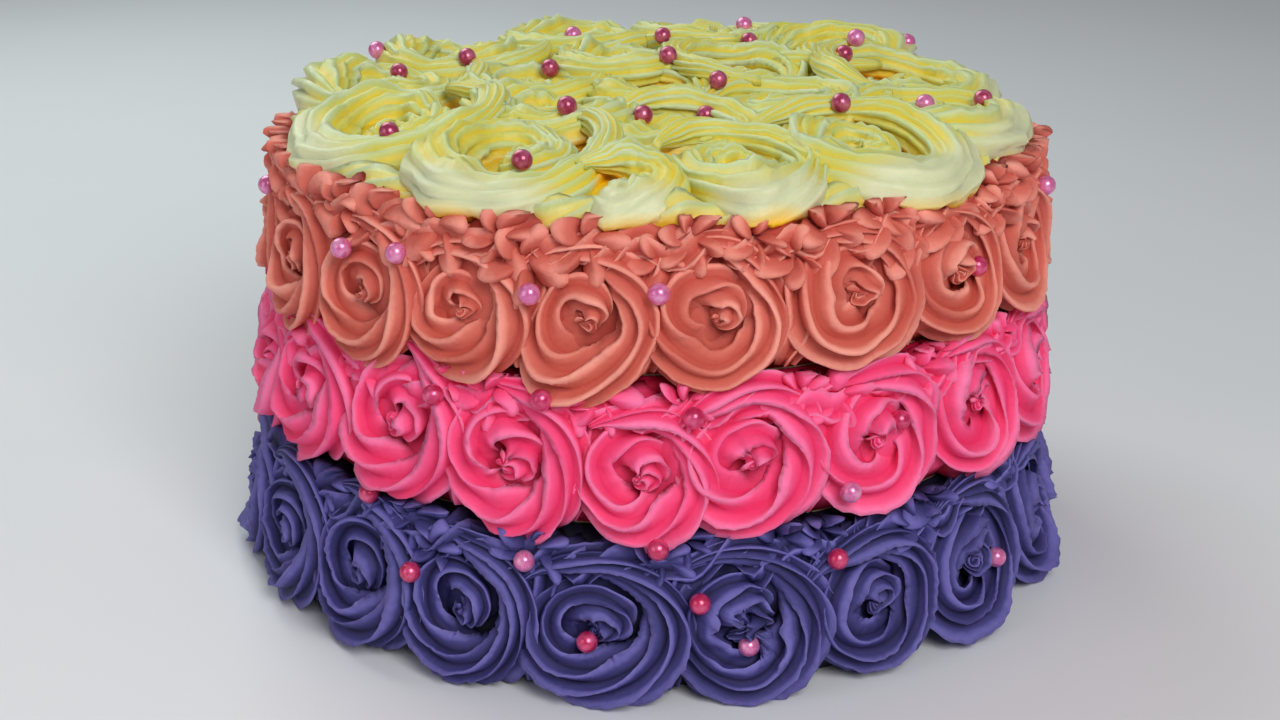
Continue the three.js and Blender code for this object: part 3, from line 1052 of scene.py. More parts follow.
@dataclass
class DropStar:
    """A small star dropped between the rosettes: leaf-like lobes round a raised, creased middle."""

    radius: float
    thickness: float
    lobes: int
    turn: float
    points_per_lobe: int = 10
    lobe_sizes: tuple[float, float] = (0.55, 1.25)
    lobe_heights: tuple[float, float] = (0.7, 1.15)
    lobe_shares: tuple[float, float] = (0.88, 0.12)
    lobe_powers: tuple[float, float] = (0.9, 8)
    # The star's rings from its foot, over its lobes, to its middle, in shares of its radius and height.
    ring_shares: tuple[float, ...] = (0.3, 0.42, 0.78, 0.99, 1.0, 0.9, 0.74, 0.56, 0.4, 0.24, 0.1)
    ring_heights: tuple[float, ...] = (-0.1, 0.26, 0.52, 0.63, 0.76, 0.87, 0.92, 0.95, 0.95, 0.84, 0.6)
    waist: float = 0.4
    middle_height: float = 0.5
    # How far up a lobe the star's middle counts, so that its crease takes painted groove shade.
    middle_crest: float = 0.3
    dent: Ripple = Ripple(0.9, 3.0, 4.0)
    bend: Ripple = Ripple(0.12, 2.0, 1.0)
    swirl_radians: float = 0.55

    def pipe(self, chance: np.random.Generator) -> tuple[np.ndarray, np.ndarray]:
        """Pipes the star flat.

        Args:
            chance: The seeded source of random numbers.

        Returns:
            The star's points as rings x points x (along, up, out), and each point's share up a lobe.
        """
        count = self.lobes * self.points_per_lobe
        angle = np.linspace(0, FULL_TURN, count, endpoint=False)
        lobe_number = np.floor(angle / FULL_TURN * self.lobes + 0.5).astype(int) % self.lobes
        size = chance.uniform(*self.lobe_sizes, self.lobes)[lobe_number]
        height_share = chance.uniform(*self.lobe_heights, self.lobes)[lobe_number]
        wave = np.abs(np.cos(self.lobes * angle / 2))
        round_share, sharp_share = self.lobe_shares
        round_power, sharp_power = self.lobe_powers
        lobe = round_share * wave**round_power + sharp_share * wave**sharp_power
        bend, dent = Wobble(chance), Wobble(chance)
        rings, crests = [], []
        for share, height in zip(self.ring_shares, self.ring_heights):
            reach = self.radius * share * (self.waist + (1 - self.waist) * lobe * size)
            dome = self.middle_height + (1 - self.middle_height) * lobe * height_share
            out = self.thickness * height * dome + self.dent.of(dent, angle, share) * share
            heading = angle + math.radians(self.turn) + self.swirl_radians * (1 - share)
            heading = heading + self.bend.of(bend, angle, share)
            rings.append(np.stack([reach * np.cos(heading), reach * np.sin(heading), out], axis=-1))
            crests.append(lobe * (self.middle_crest + (1 - self.middle_crest) * share))
        return np.array(rings), np.array(crests)


@dataclass
class Stroke:
    """A short straight rope piped behind the rosettes to fill the gap where two of them meet."""

    length: float
    thickness: float
    lean: float
    nozzle: StarNozzle = STROKE_NOZZLE
    rope: float = 7.5
    steps: int = 16
    knots: tuple[float, ...] = (0.0, 0.06, 0.2, 0.85, 1.0)
    girths: tuple[float, ...] = (0.2, 0.7, 1.0, 0.95, 0.5)
    rounding: int = 3
    pulse: Ripple = Ripple(0.1, 7.0)
    twist_radians: float = 1.2
    drift: Ripple = Ripple(0.3, 4.0)
    ragged: Ripple = Ripple(0.06, 13.0, 3.1)
    wander: Ripple = Ripple(1.2, 5.0)

    def pipe(self, chance: np.random.Generator) -> tuple[np.ndarray, np.ndarray]:
        """Pipes the stroke flat, from top to bottom.

        Args:
            chance: The seeded source of random numbers.

        Returns:
            The rope's points as rings x points x (along, up, out), and each point's share up a lip.
        """
        share = np.linspace(0, 1, self.steps)
        girth = self.rope * smooth_line(share, self.knots, self.girths, self.rounding)
        wander, edge_wave, pulse = Wobble(chance), Wobble(chance, RAGGED_WAVES), Wobble(chance)
        girth = girth * (1 + self.pulse.of(pulse, share))
        angle, lip, tooth = self.nozzle.points()
        drift = chance.uniform(0, FULL_TURN) + self.twist_radians * share
        drift = drift + self.drift.of(wander, share)
        ragged = self.ragged.of(edge_wave, share[:, None], tooth[None]) * lip**2
        profile = self.nozzle.trough + (1 - self.nozzle.trough) * lip[None] + ragged
        around = angle[None] + drift[:, None]
        along = self.lean * (share - 0.5) + self.wander.of(wander, share)
        along = along[:, None] + girth[:, None] * profile * np.cos(around)
        out = self.thickness - self.rope + girth[:, None] * profile * np.sin(around)
        up = self.length * (0.5 - share)[:, None] + np.zeros_like(out)
        return np.stack([along, up, out], axis=-1), lip[None] + np.zeros_like(out)


@dataclass(frozen=True)
class Spot:
    """A place on the side: an angle and a height, and for a rosette how it differs from its row's others."""

    angle: float
    height: float
    wide: float = 1.0
    tall: float = 1.0
    tail: float = USUAL_TAIL
    twist: float = 0.0
    torn: float = 0.0


@dataclass
class IcedBand:
    """One colour of icing: it is piped in batches and dressed in place of its solid."""

    colour: IcingColour
    node: str

    def dress(self, batches: dict[str, Batch]) -> list[bpy.types.Object]:
        """Makes the band's pieces.

        Args:
            batches: What was piped, by kind.

        Returns:
            The pieces.
        """
        material = ICING_FINISHES[self.colour].material()
        pieces = []
        for kind, batch in batches.items():
            piece = batch.piece(f"{self.colour.value}_{kind}", material)
            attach(piece, "root")
            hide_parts(self.node)
            pieces.append(piece)
        return pieces


@dataclass
class RosetteRow(IcedBand):
    """One band on the side: a bed of icing, its rosettes, and the stars, strokes and rope between them."""

    wall: SideWall
    bottom: float
    top: float
    radius: float
    thickness: float
    rosettes: tuple[Spot, ...]
    stars: tuple[Spot, ...]
    turns: float
    rope_share: float
    nozzle: StarNozzle
    steps_per_turn: int
    twist: float = 0.6
    count: int = 20
    overhang: float = 2.6
    star_radius: float = 11.0
    star_sink: float = 2.3
    star_rise: float = 0.5
    ragged: Ripple = Ripple(0.22, 1.1, 3.1)
    border_rope: float = 7.0
    border_sink: float = 3.8
    border_rise: float = -0.8
    border_steps: int = 340
    bed_depth: float = 5.6
    bed_steps: int = 240
    bed_levels: int = 9
    # How the rosettes on the far side differ from the row's mean.
    height_slip: float = 1.5
    angle_slip: float = 1.5
    wide_range: tuple[float, float] = (0.9, 1.03)
    tall_range: tuple[float, float] = (0.93, 1.04)
    tail_middle: float = USUAL_TAIL
    tail_slip: float = 25.0
    twist_slip: float = 0.1
    # How every rosette differs by chance.
    thickness_range: tuple[float, float] = (-0.4, 1.0)
    turns_range: tuple[float, float] = (-0.1, 0.15)
    rope_range: tuple[float, float] = (-0.05, 0.06)
    torn_range: tuple[float, float] = (0.2, 0.8)
    # How the stars and the strokes differ by chance, and by how much a stroke is shorter than the row.
    star_sizes: tuple[float, float] = (0.75, 1.15)
    star_thickness_range: tuple[float, float] = (-1.0, 0.8)
    star_lobes: tuple[int, int] = (5, 7)
    star_turns: tuple[float, float] = (0.0, 90.0)
    gap_star_slip: float = 2.0
    gap_star_depths: tuple[float, float] = (3.0, 8.0)
    stroke_shorter: float = 4.0
    stroke_depths: tuple[float, float] = (3.5, 5.0)
    stroke_lean: float = 4.0
    stroke_slip: float = 1.0
    # The rope along the row's upper edge.
    border_twist: float = 11.0
    border_drift: Ripple = Ripple(0.5, 0.13)
    border_pulse: Ripple = Ripple(0.16, 0.35)
    border_fringe: Ripple = Ripple(1.0, 0.7, 3.1)
    border_trough: float = 0.72
    border_ragged: float = 0.07
    border_wave: Ripple = Ripple(2.2, 0.22)
    # The bed, which is thickest halfway up the row.
    bed_lumps: Ripple = Ripple(1.0, 0.14, 0.16)
    bed_dents: Ripple = Ripple(0.6, 0.31, 0.27)
    bed_lump_share: float = 1.1
    bed_rounding: float = 0.3
    bed_inside: float = 0.4
    bed_least: float = 1.0
    bed_margin: float = 0.2
    # How far up a lip the bed counts, which gives it part of the painted groove shade.
    bed_crest: float = 0.35

    def all_spots(self, chance: np.random.Generator) -> list[Spot]:
        """Carries the rosettes that the camera sees on round the back, evenly with small slips.

        Args:
            chance: The seeded source of random numbers.

        Returns:
            Every rosette's place, the seen ones first.
        """
        hidden = self.count - len(self.rosettes)
        first, last = self.rosettes[0].angle + DEGREES_ROUND, self.rosettes[-1].angle
        step = (first - last) / (hidden + 1)
        middle = float(np.mean([spot.height for spot in self.rosettes]))
        behind = [
            Spot(
                last + step * (number + 1) + chance.uniform(-self.angle_slip, self.angle_slip),
                middle + chance.uniform(-self.height_slip, self.height_slip),
                wide=chance.uniform(*self.wide_range),
                tall=chance.uniform(*self.tall_range),
                tail=self.tail_middle + chance.uniform(-self.tail_slip, self.tail_slip),
                twist=chance.uniform(-self.twist_slip, self.twist_slip),
            )
            for number in range(hidden)
        ]
        return [*self.rosettes, *behind]

    def pipe_rosettes(self, chance: np.random.Generator) -> Batch:
        """Pipes the row's rosettes onto the wall.

        Args:
            chance: The seeded source of random numbers.

        Returns:
            The piped faces.
        """
        batch = Batch()
        for spot in self.all_spots(chance):
            rosette = Rosette(
                radius=self.radius,
                thickness=self.thickness + chance.uniform(*self.thickness_range),
                tail_angle=spot.tail,
                turns=self.turns + chance.uniform(*self.turns_range),
                twist=self.twist + spot.twist,
                rope=self.radius * self.rope_share * (1 + chance.uniform(*self.rope_range)),
                wide=spot.wide,
                tall=spot.tall,
                tip_forward=self.overhang,
                ragged=self.ragged,
                steps_per_turn=self.steps_per_turn,
                torn=spot.torn + chance.uniform(*self.torn_range),
            )
            local, crest = rosette.pipe(self.nozzle, chance)
            batch.add_tube(self.wall.place(spot.angle, spot.height, local), crest, np.zeros_like(crest))
        return batch

    def pipe_stars(self, chance: np.random.Generator) -> Batch:
        """Drops the stars between the rosettes.

        Args:
            chance: The seeded source of random numbers.

        Returns:
            The piped faces.
        """
        batch = Batch()
        seen = len(self.rosettes)
        spots = self.all_spots(np.random.default_rng(SEED))
        gaps = [
            Spot(
                (left.angle + right.angle) / 2 + chance.uniform(-self.gap_star_slip, self.gap_star_slip),
                self.top - chance.uniform(*self.gap_star_depths),
            )
            for left, right in zip(spots[seen - 1 :], spots[seen:])
        ]
        for spot in [*self.stars, *gaps]:
            star = DropStar(
                radius=self.star_radius * chance.uniform(*self.star_sizes),
                thickness=self.thickness - self.star_sink + chance.uniform(*self.star_thickness_range),
                lobes=int(chance.integers(*self.star_lobes)),
                turn=chance.uniform(*self.star_turns),
            )
            local, crest = star.pipe(chance)
            local[..., 1] = np.minimum(local[..., 1], self.top + self.star_rise - spot.height)
            batch.add_tube(self.wall.place(spot.angle, spot.height, local), crest, np.zeros_like(crest))
        return batch

    def pipe_strokes(self, chance: np.random.Generator) -> Batch:
        """Pipes a stroke behind each pair of neighbouring rosettes.

        Args:
            chance: The seeded source of random numbers.

        Returns:
            The piped faces.
        """
        batch = Batch()
        spots = self.all_spots(np.random.default_rng(SEED))
        spots = [*spots, Spot(spots[0].angle + DEGREES_ROUND, spots[0].height)]
        middle = (self.bottom + self.top) / 2
        for left, right in zip(spots, spots[1:]):
            stroke = Stroke(
                length=self.top - self.bottom - self.stroke_shorter,
                thickness=self.thickness - chance.uniform(*self.stroke_depths),
                lean=chance.uniform(-self.stroke_lean, self.stroke_lean),
            )
            local, crest = stroke.pipe(chance)
            angle = (left.angle + right.angle) / 2 + chance.uniform(-self.stroke_slip, self.stroke_slip)
            batch.add_tube(self.wall.place(angle, middle, local), crest, np.zeros_like(crest))
        return batch

    def pipe_border(self, chance: np.random.Generator) -> Batch:
        """Pipes a wavy rope all round the row's upper edge, behind the stars.

        Args:
            chance: The seeded source of random numbers.

        Returns:
            The piped faces.
        """
        wave, pulse = Wobble(chance, VARIED_WAVES), Wobble(chance, VARIED_WAVES)
        frill = Wobble(chance, RAGGED_WAVES)
        turn = np.linspace(-DEGREES_ROUND / 2, DEGREES_ROUND / 2, self.border_steps)
        across = np.radians(turn) * self.wall.foot_radius
        ease = seam_ease(np.radians(turn))
        angle, lip, tooth = BORDER_NOZZLE.points()
        drift = self.border_twist * np.radians(turn) + ease * self.border_drift.of(wave, across)
        girth = self.border_rope * (1 + ease * self.border_pulse.of(pulse, across))
        fringe = self.border_fringe.of(frill, across[:, None], tooth[None]) * ease[:, None]
        profile = self.border_trough + (1 - self.border_trough) * lip[None]
        profile = profile + self.border_ragged * fringe * lip**2
        around = angle[None] + drift[:, None]
        up = (ease * self.border_wave.of(wave, across))[:, None] + girth[:, None] * profile * np.sin(around)
        out = self.thickness - self.border_sink - self.border_rope + girth[:, None] * profile * np.cos(around)
        level = self.top - self.border_rope + self.border_rise + up
        rings = [
            self.wall.place(degrees, 0.0, np.stack([np.zeros_like(height), height, depth], axis=-1))
            for degrees, height, depth in zip(turn, level, out)
        ]
        batch = Batch()
        crest = lip[None] + np.zeros_like(out)
        batch.add_tube(np.array(rings), crest, np.zeros_like(crest))
        return batch

    def spread_bed(self, chance: np.random.Generator) -> Batch:
        """Spreads the uneven coat that shows in the gaps, as a closed band round the wall.

        Args:
            chance: The seeded source of random numbers.

        Returns:
            The band's faces.
        """
        lumps, dents = Wobble(chance, RAGGED_WAVES), Wobble(chance, RAGGED_WAVES)
        turn = np.linspace(-DEGREES_ROUND / 2, DEGREES_ROUND / 2, self.bed_steps, endpoint=False)
        levels = np.linspace(self.bottom + self.bed_margin, self.top - self.bed_margin, self.bed_levels)
        share = np.sin(np.linspace(0, math.pi, self.bed_levels)) ** self.bed_rounding
        rings = []
        for angle in turn:
            across = math.radians(angle) * self.wall.foot_radius
            lump = self.bed_lumps.of(lumps, across, levels) + self.bed_dents.of(dents, across, levels)
            ease = self.bed_lump_share * seam_ease(math.radians(angle))
            depth = self.bed_least + (self.bed_depth + ease * lump) * share
            outer = np.stack([np.zeros_like(levels), levels, depth], axis=-1)
            inner = np.stack([np.zeros(2), levels[[-1, 0]], np.full(2, self.bed_inside)], axis=-1)
            rings.append(self.wall.place(angle, 0.0, np.concatenate([outer, inner])))
        batch = Batch()
        band = np.array([*rings, rings[0]])
        flat = np.full(band.shape[:2], self.bed_crest)
        batch.add_tube(band, flat, np.zeros_like(flat))
        return batch

    def pipe(self, chance: np.random.Generator) -> dict[str, Batch]:
        """Pipes the whole row.

        Args:
            chance: The seeded source of random numbers.

        Returns:
            The row's batches by kind.
        """
        return {
            "rosettes": self.pipe_rosettes(np.random.default_rng(SEED + len(self.colour.value))),
            "stars": self.pipe_stars(chance),
            "strokes": self.pipe_strokes(chance),
            "border": self.pipe_border(chance),
            "bed": self.spread_bed(chance),
        }


@dataclass(frozen=True)
class TopSpot:
    """A place on the top: an angle, a distance from the axis, and a rosette's radius and share of width."""

    angle: float
    distance: float
    radius: float
    wide: float = 1.0


@dataclass
class TopCrown(IcedBand):
    """The rosettes on the top, a rim of them, a ring inside it and one in the middle, with bed and border."""

    face: TopFace
    thickness: float = 16.2
    bed_radius: float = 100.0
    bed_depth: float = 6.4
    fringe_height: float = 0.6
    fringe_tuck: float = 0.5
    fringe_swag: float = 3.0
    border_rope: float = 6.0
    border_reach: float = 110.0
    border_height: float = 1.6
    border_steps: int = 300
    rim: tuple[TopSpot, ...] = (
        TopSpot(-64, 87.5, 32),
        TopSpot(-27, 85, 34, wide=0.85),
        TopSpot(-4, 102, 16),
        TopSpot(16, 87, 31, wide=0.74),
        TopSpot(42.5, 89, 31),
        TopSpot(73, 88, 30),
        TopSpot(104, 86, 30),
        TopSpot(135, 88, 30),
        TopSpot(166, 89, 30),
        TopSpot(197, 89, 30),
        TopSpot(228, 89, 30),
        TopSpot(261, 86.5, 30),
    )
    inner_count: int = 6
    inner_distance: float = 43.0
    inner_radius: float = 27.0
    middle_radius: float = 25.0
    inner_start: float = 12.0
    # What the rosettes have in common.
    nozzle: StarNozzle = TOP_NOZZLE
    steps_per_turn: int = 44
    radius_per_turn: float = 14.5
    rope: float = 9.6
    twist: float = 0.32
    ragged: Ripple = Ripple(0.75, 1.1, 3.1)
    wander: Ripple = Ripple(1.3, 2.1)
    pulse: Ripple = Ripple(0.09, 5.0)
    heave: Ripple = Ripple(2.3, 0.9, start=1.0)
    dome: float = -1.5
    soft_start: float = 0.9
    nest: float = 4.5
    rim_fill: float = 0.94
    rim_tilt: float = -2.2
    back_rise: float = 1.2
    # How they differ by chance.
    thickness_range: tuple[float, float] = (-0.8, 1.0)
    tail_middle: float = USUAL_TAIL
    tail_slip: float = 25.0
    turns_range: tuple[float, float] = (-0.1, 0.15)
    inner_tilt: float = 2.5
    twist_slip: float = 0.12
    rope_range: tuple[float, float] = (-0.05, 0.08)
    wide_range: tuple[float, float] = (-0.03, 0.04)
    tall_range: tuple[float, float] = (-0.02, 0.03)
    # Where the cream is pale: far out from the axis, and less so up on the crests.
    pale_reach: Ramp = Ramp(105.0, 9.0)
    pale_height: Ramp = Ramp(16.0, -4.0, least=0.2)
    # The bed, from its underside over its edge to its middle.
    bed_steps: int = 200
    bed_underside: tuple[tuple[float, float], ...] = ((0.02, 0.3), (0.9, 0.3), (1.0, 1.2), (1.0, 3.5))
    bed_edge: float = 0.96
    bed_ring_shares: tuple[float, float] = (0.9, 0.02)
    bed_ring_count: int = 16
    bed_rate: float = 0.15
    # How far up a lip the bed counts, which gives it part of the painted groove shade.
    bed_crest: float = 0.1
    # The rope round the top's edge.
    border_twist: float = 9.5
    border_drift: Ripple = Ripple(0.5, 0.13)
    border_pulse: Ripple = Ripple(0.12, 0.35)
    border_trough: float = 0.8
    border_wave: Ripple = Ripple(1.2, 0.2)
    border_heave: Ripple = Ripple(1.0, 0.23)
    border_paleness: float = 0.3
    # The ragged edge at which the rosettes of the rim end.
    swag_most: float = 1.5
    swag_mean: float = 0.3
    scallop_rise: float = 1.6
    scallops: Ripple = Ripple(2.6, 0.26)
    nicks: Ripple = Ripple(0.5, 0.8)
    drape_softness: float = 0.8
    drape_reach: Ramp = Ramp(100.0, 10.0)
    drape_lift: float = 0.85
    bulges: Ripple = Ripple(0.9, 0.3, 0.3)
    bulge_reach: Ramp = Ramp(108.0, 8.0)

    def pipe_rosettes(self, chance: np.random.Generator) -> Batch:
        """Pipes the rosettes onto the top.

        Args:
            chance: The seeded source of random numbers.

        Returns:
            The piped faces.
        """
        batch = Batch()
        inner = [
            TopSpot(
                number * DEGREES_ROUND / self.inner_count + self.inner_start,
                self.inner_distance,
                self.inner_radius,
            )
            for number in range(self.inner_count)
        ]
        for spot in [*self.rim, *inner, TopSpot(0, 0, self.middle_radius)]:
            on_rim = spot in self.rim
            lowered = self.back_rise * math.cos(math.radians(spot.angle))
            rosette = Rosette(
                radius=spot.radius,
                thickness=self.thickness + self.back_rise - lowered + chance.uniform(*self.thickness_range),
                tail_angle=self.tail_middle + chance.uniform(-self.tail_slip, self.tail_slip),
                turns=spot.radius / self.radius_per_turn + chance.uniform(*self.turns_range),
                side_fill=self.rim_fill if on_rim else 0.0,
                tip_forward=self.rim_tilt if on_rim else chance.uniform(-self.inner_tilt, self.inner_tilt),
                twist=self.twist + chance.uniform(-self.twist_slip, self.twist_slip),
                rope=self.rope * (1 + chance.uniform(*self.rope_range)),
                wide=spot.wide * (1 + chance.uniform(*self.wide_range)),
                tall=1 + chance.uniform(*self.tall_range),
                steps_per_turn=self.steps_per_turn,
                ragged=self.ragged,
                wander=self.wander,
                pulse=self.pulse,
                dome=self.dome,
                heave=self.heave,
                soft_start=self.soft_start,
                nest=self.nest,
            )
            local, crest = rosette.pipe(self.nozzle, chance)
            placed = self.draped(self.face.place(spot.angle, spot.distance, local), spot, chance)
            reach = np.hypot(placed[..., 0] - self.face.axis_x, placed[..., 1] - self.face.axis_y)
            height = placed[..., 2] - self.face.level
            batch.add_tube(placed, crest, self.pale_reach.of(reach) * self.pale_height.of(height))
        return batch

    def spread_bed(self, chance: np.random.Generator) -> Batch:
        """Spreads the coat under the rosettes as a closed, uneven disc.

        Args:
            chance: The seeded source of random numbers.

        Returns:
            The disc's faces.
        """
        lumps = Wobble(chance, RAGGED_WAVES)
        turn = np.linspace(0, FULL_TURN, self.bed_steps, endpoint=False)
        rings = []
        for share, height in (*self.bed_underside, (self.bed_edge, self.bed_depth)):
            rings.append(self._ring(turn, share * self.bed_radius, np.full(self.bed_steps, height)))
        for share in np.linspace(*self.bed_ring_shares, self.bed_ring_count):
            reach = share * self.bed_radius
            rate = self.bed_rate * reach
            height = self.bed_depth + lumps.at(rate * np.cos(turn), rate * np.sin(turn))
            rings.append(self._ring(turn, reach, height))
        batch = Batch()
        band = np.array(rings)
        flat = np.full(band.shape[:2], self.bed_crest)
        batch.add_tube(band, flat, np.zeros_like(flat))
        return batch

    def pipe_border(self, chance: np.random.Generator) -> Batch:
        """Pipes a wavy rope all round the top's edge, which fills what is open under the rosettes.

        Args:
            chance: The seeded source of random numbers.

        Returns:
            The piped faces.
        """
        wave, pulse = Wobble(chance, VARIED_WAVES), Wobble(chance, VARIED_WAVES)
        turn = np.linspace(-math.pi, math.pi, self.border_steps)
        across = turn * self.face.sag_start
        ease = seam_ease(turn)
        angle, lip, _ = BORDER_NOZZLE.points()
        around = angle[None] + (self.border_twist * turn + ease * self.border_drift.of(wave, across))[:, None]
        profile = self.border_trough + (1 - self.border_trough) * lip[None]
        girth = self.border_rope * (1 + ease * self.border_pulse.of(pulse, across))[:, None] * profile
        sway = (ease * self.border_wave.of(wave, across))[:, None]
        heave = (ease * self.border_heave.of(pulse, across))[:, None]
        reach = self.border_reach + sway + girth * np.cos(around)
        level = self.face.level + self.border_height + heave + girth * np.sin(around)
        x = self.face.axis_x + reach * np.sin(turn)[:, None]
        y = self.face.axis_y - reach * np.cos(turn)[:, None]
        batch = Batch()
        crest = lip[None] + np.zeros_like(x)
        batch.add_tube(np.stack([x, y, level], axis=-1), crest, np.full_like(crest, self.border_paleness))
        return batch

    def draped(self, points: np.ndarray, spot: TopSpot, chance: np.random.Generator) -> np.ndarray:
        """Ends a rosette at the ragged edge that hangs over the side, and tucks what is below under it.

        Args:
            points: The rosette's points in the frame.
            spot: Where the rosette is; it hangs lowest at its middle.
            chance: The seeded source of random numbers.

        Returns:
            The points, none of them far below the edge.
        """
        scallops, nicks = Wobble(chance), Wobble(chance, RAGGED_WAVES)
        bulges = Wobble(chance, VARIED_WAVES)
        x, y = points[..., 0] - self.face.axis_x, points[..., 1] - self.face.axis_y
        reach, turn = np.hypot(x, y), np.arctan2(x, -y)
        across = turn * self.face.sag_start
        sideways = (turn - math.radians(spot.angle) + math.pi) % FULL_TURN - math.pi
        swag = np.minimum((sideways * self.face.sag_start / spot.radius) ** 2, self.swag_most)
        edge = self.face.level + self.fringe_height + self.fringe_swag * (swag - self.swag_mean)
        edge = edge + self.scallop_rise - np.abs(self.scallops.of(scallops, across))
        edge = edge + self.nicks.of(nicks, across)
        softness = self.drape_softness
        below = softness * np.logaddexp(0, (edge - points[..., 2]) / softness)
        outside = self.drape_reach.of(reach)
        bulge = self.bulges.of(bulges, across, points[..., 2]) * self.bulge_reach.of(reach)
        share = 1 + (bulge - self.fringe_tuck * below * outside) / reach
        level = points[..., 2] + self.drape_lift * below * outside
        return np.stack([self.face.axis_x + x * share, self.face.axis_y + y * share, level], axis=-1)

    def _ring(self, turn: np.ndarray, reach: float, height: np.ndarray) -> np.ndarray:
        """One ring of the bed, laid on the top."""
        local = np.stack([reach * np.sin(turn), reach * np.cos(turn), height], axis=-1)
        return self.face.place(0.0, 0.0, local)

    def pipe(self, chance: np.random.Generator) -> dict[str, Batch]:
        """Pipes the whole top.

        Args:
            chance: The seeded source of random numbers.

        Returns:
            The top's batches by kind.
        """
        return {
            "rosettes": self.pipe_rosettes(chance),
            "bed": self.spread_bed(chance),
            "border": self.pipe_border(chance),
        }


@dataclass(frozen=True)
class SoftLight:
    """A square light that faces the cake. Its place and size are in metres, and its power is in watts."""

    name: str
    place: tuple[float, float, float]
    size: float
    power: float
    colour: tuple[float, float, float]
    aim: tuple[float, float, float] = (0.0, 0.0, 0.07)

    def hang(self) -> None:
        """Adds the light to the scene."""
        lamp = bpy.data.lights.new(self.name, "AREA")
        lamp.size = self.size
        lamp.energy = self.power
        lamp.color = self.colour
        light = bpy.data.objects.new(self.name, lamp)
        light.location = self.place
        light.rotation_euler = (Vector(self.aim) - Vector(self.place)).to_track_quat("-Z", "Y").to_euler()
        bpy.context.scene.collection.objects.link(light)


@dataclass
class Studio:
    """The floor, the soft lights and the camera at the photograph's viewing angle.

    The camera's offset from the cake's foot, its nearest distance and the floor are in metres.
    """

    axis_x: float
    axis_y: float
    camera_offset: tuple[float, float, float] = (-0.00416, -0.6006, 0.27625)
    pitch: float = 20.34
    lens: float = 53.44
    sensor_width: float = 36.0
    nearest: float = 0.02
    image_width: int = 1280
    image_height: int = 720
    cake_pixel: tuple[float, float] = (652, 260)
    floor_size: float = 9.0
    floor_level: float = -0.0004
    surroundings: Colour = (0.95, 0.97, 1.0, 1.0)
    surroundings_strength: float = 0.21
    lights: tuple[SoftLight, ...] = (
        SoftLight("window", (-0.5, 0.7, 0.9), size=0.8, power=6.5, colour=(0.9, 1.0, 0.95)),
        SoftLight("key", (0.35, -1.0, 0.85), size=0.6, power=11.2, colour=(1.0, 0.98, 0.96)),
        SoftLight("fill", (-0.9, -0.7, 0.45), size=0.7, power=2.0, colour=(1.0, 0.98, 0.98)),
    )

    def eye(self) -> Vector:
        """The camera's place, in metres."""
        return Vector((self.axis_x * METRES, self.axis_y * METRES, 0)) + Vector(self.camera_offset)

    def turned(self) -> Matrix:
        """The camera's turn, which points it at the cake."""
        return Matrix.Rotation(math.radians(DEGREES_ROUND / 4 - self.pitch), 4, "X")

    def sight(self, x: float, y: float) -> Vector:
        """Finds the direction in which the camera sees a pixel.

        Args:
            x: The pixel's place from the photograph's left side.
            y: Its place from the upper side.

        Returns:
            The unit direction.
        """
        scale = self.lens / self.sensor_width * self.image_width
        ahead = Vector(((x - self.image_width / 2) / scale, (self.image_height / 2 - y) / scale, -1))
        return (self.turned() @ ahead).normalized()

    def build(self) -> None:
        """Builds the floor, the surroundings, the lights and the camera."""
        self._floor()
        self._surroundings()
        for light in self.lights:
            light.hang()
        self._camera()

    def _floor(self) -> None:
        """Lays the floor under the cake."""
        half = self.floor_size / 2
        mesh = bpy.data.meshes.new("floor")
        sides = [(-half, -half), (half, -half), (half, half), (-half, half)]
        mesh.from_pydata([(x, y, self.floor_level) for x, y in sides], [], [(0, 1, 2, 3)])
        mesh.materials.append(FLOOR_FINISH.material())
        floor = bpy.data.objects.new("floor", mesh)
        bpy.context.scene.collection.objects.link(floor)

    def _surroundings(self) -> None:
        """Sets the pale surroundings, and the plain view that keeps the icing's strong colours."""
        world = bpy.data.worlds.new("studio")
        world.use_nodes = True
        background = world.node_tree.nodes["Background"]
        background.inputs["Color"].default_value = self.surroundings
        background.inputs["Strength"].default_value = self.surroundings_strength
        bpy.context.scene.world = world
        bpy.context.scene.view_settings.view_transform = "Standard"

    def _camera(self) -> None:
        """Sets the camera at the photograph's angle."""
        data = bpy.data.cameras.new("camera")
        data.lens = self.lens
        data.sensor_width = self.sensor_width
        data.clip_start = self.nearest
        camera = bpy.data.objects.new("camera", data)
        camera.matrix_world = Matrix.Translation(self.eye()) @ self.turned()
        bpy.context.scene.collection.objects.link(camera)
        bpy.context.scene.camera = camera


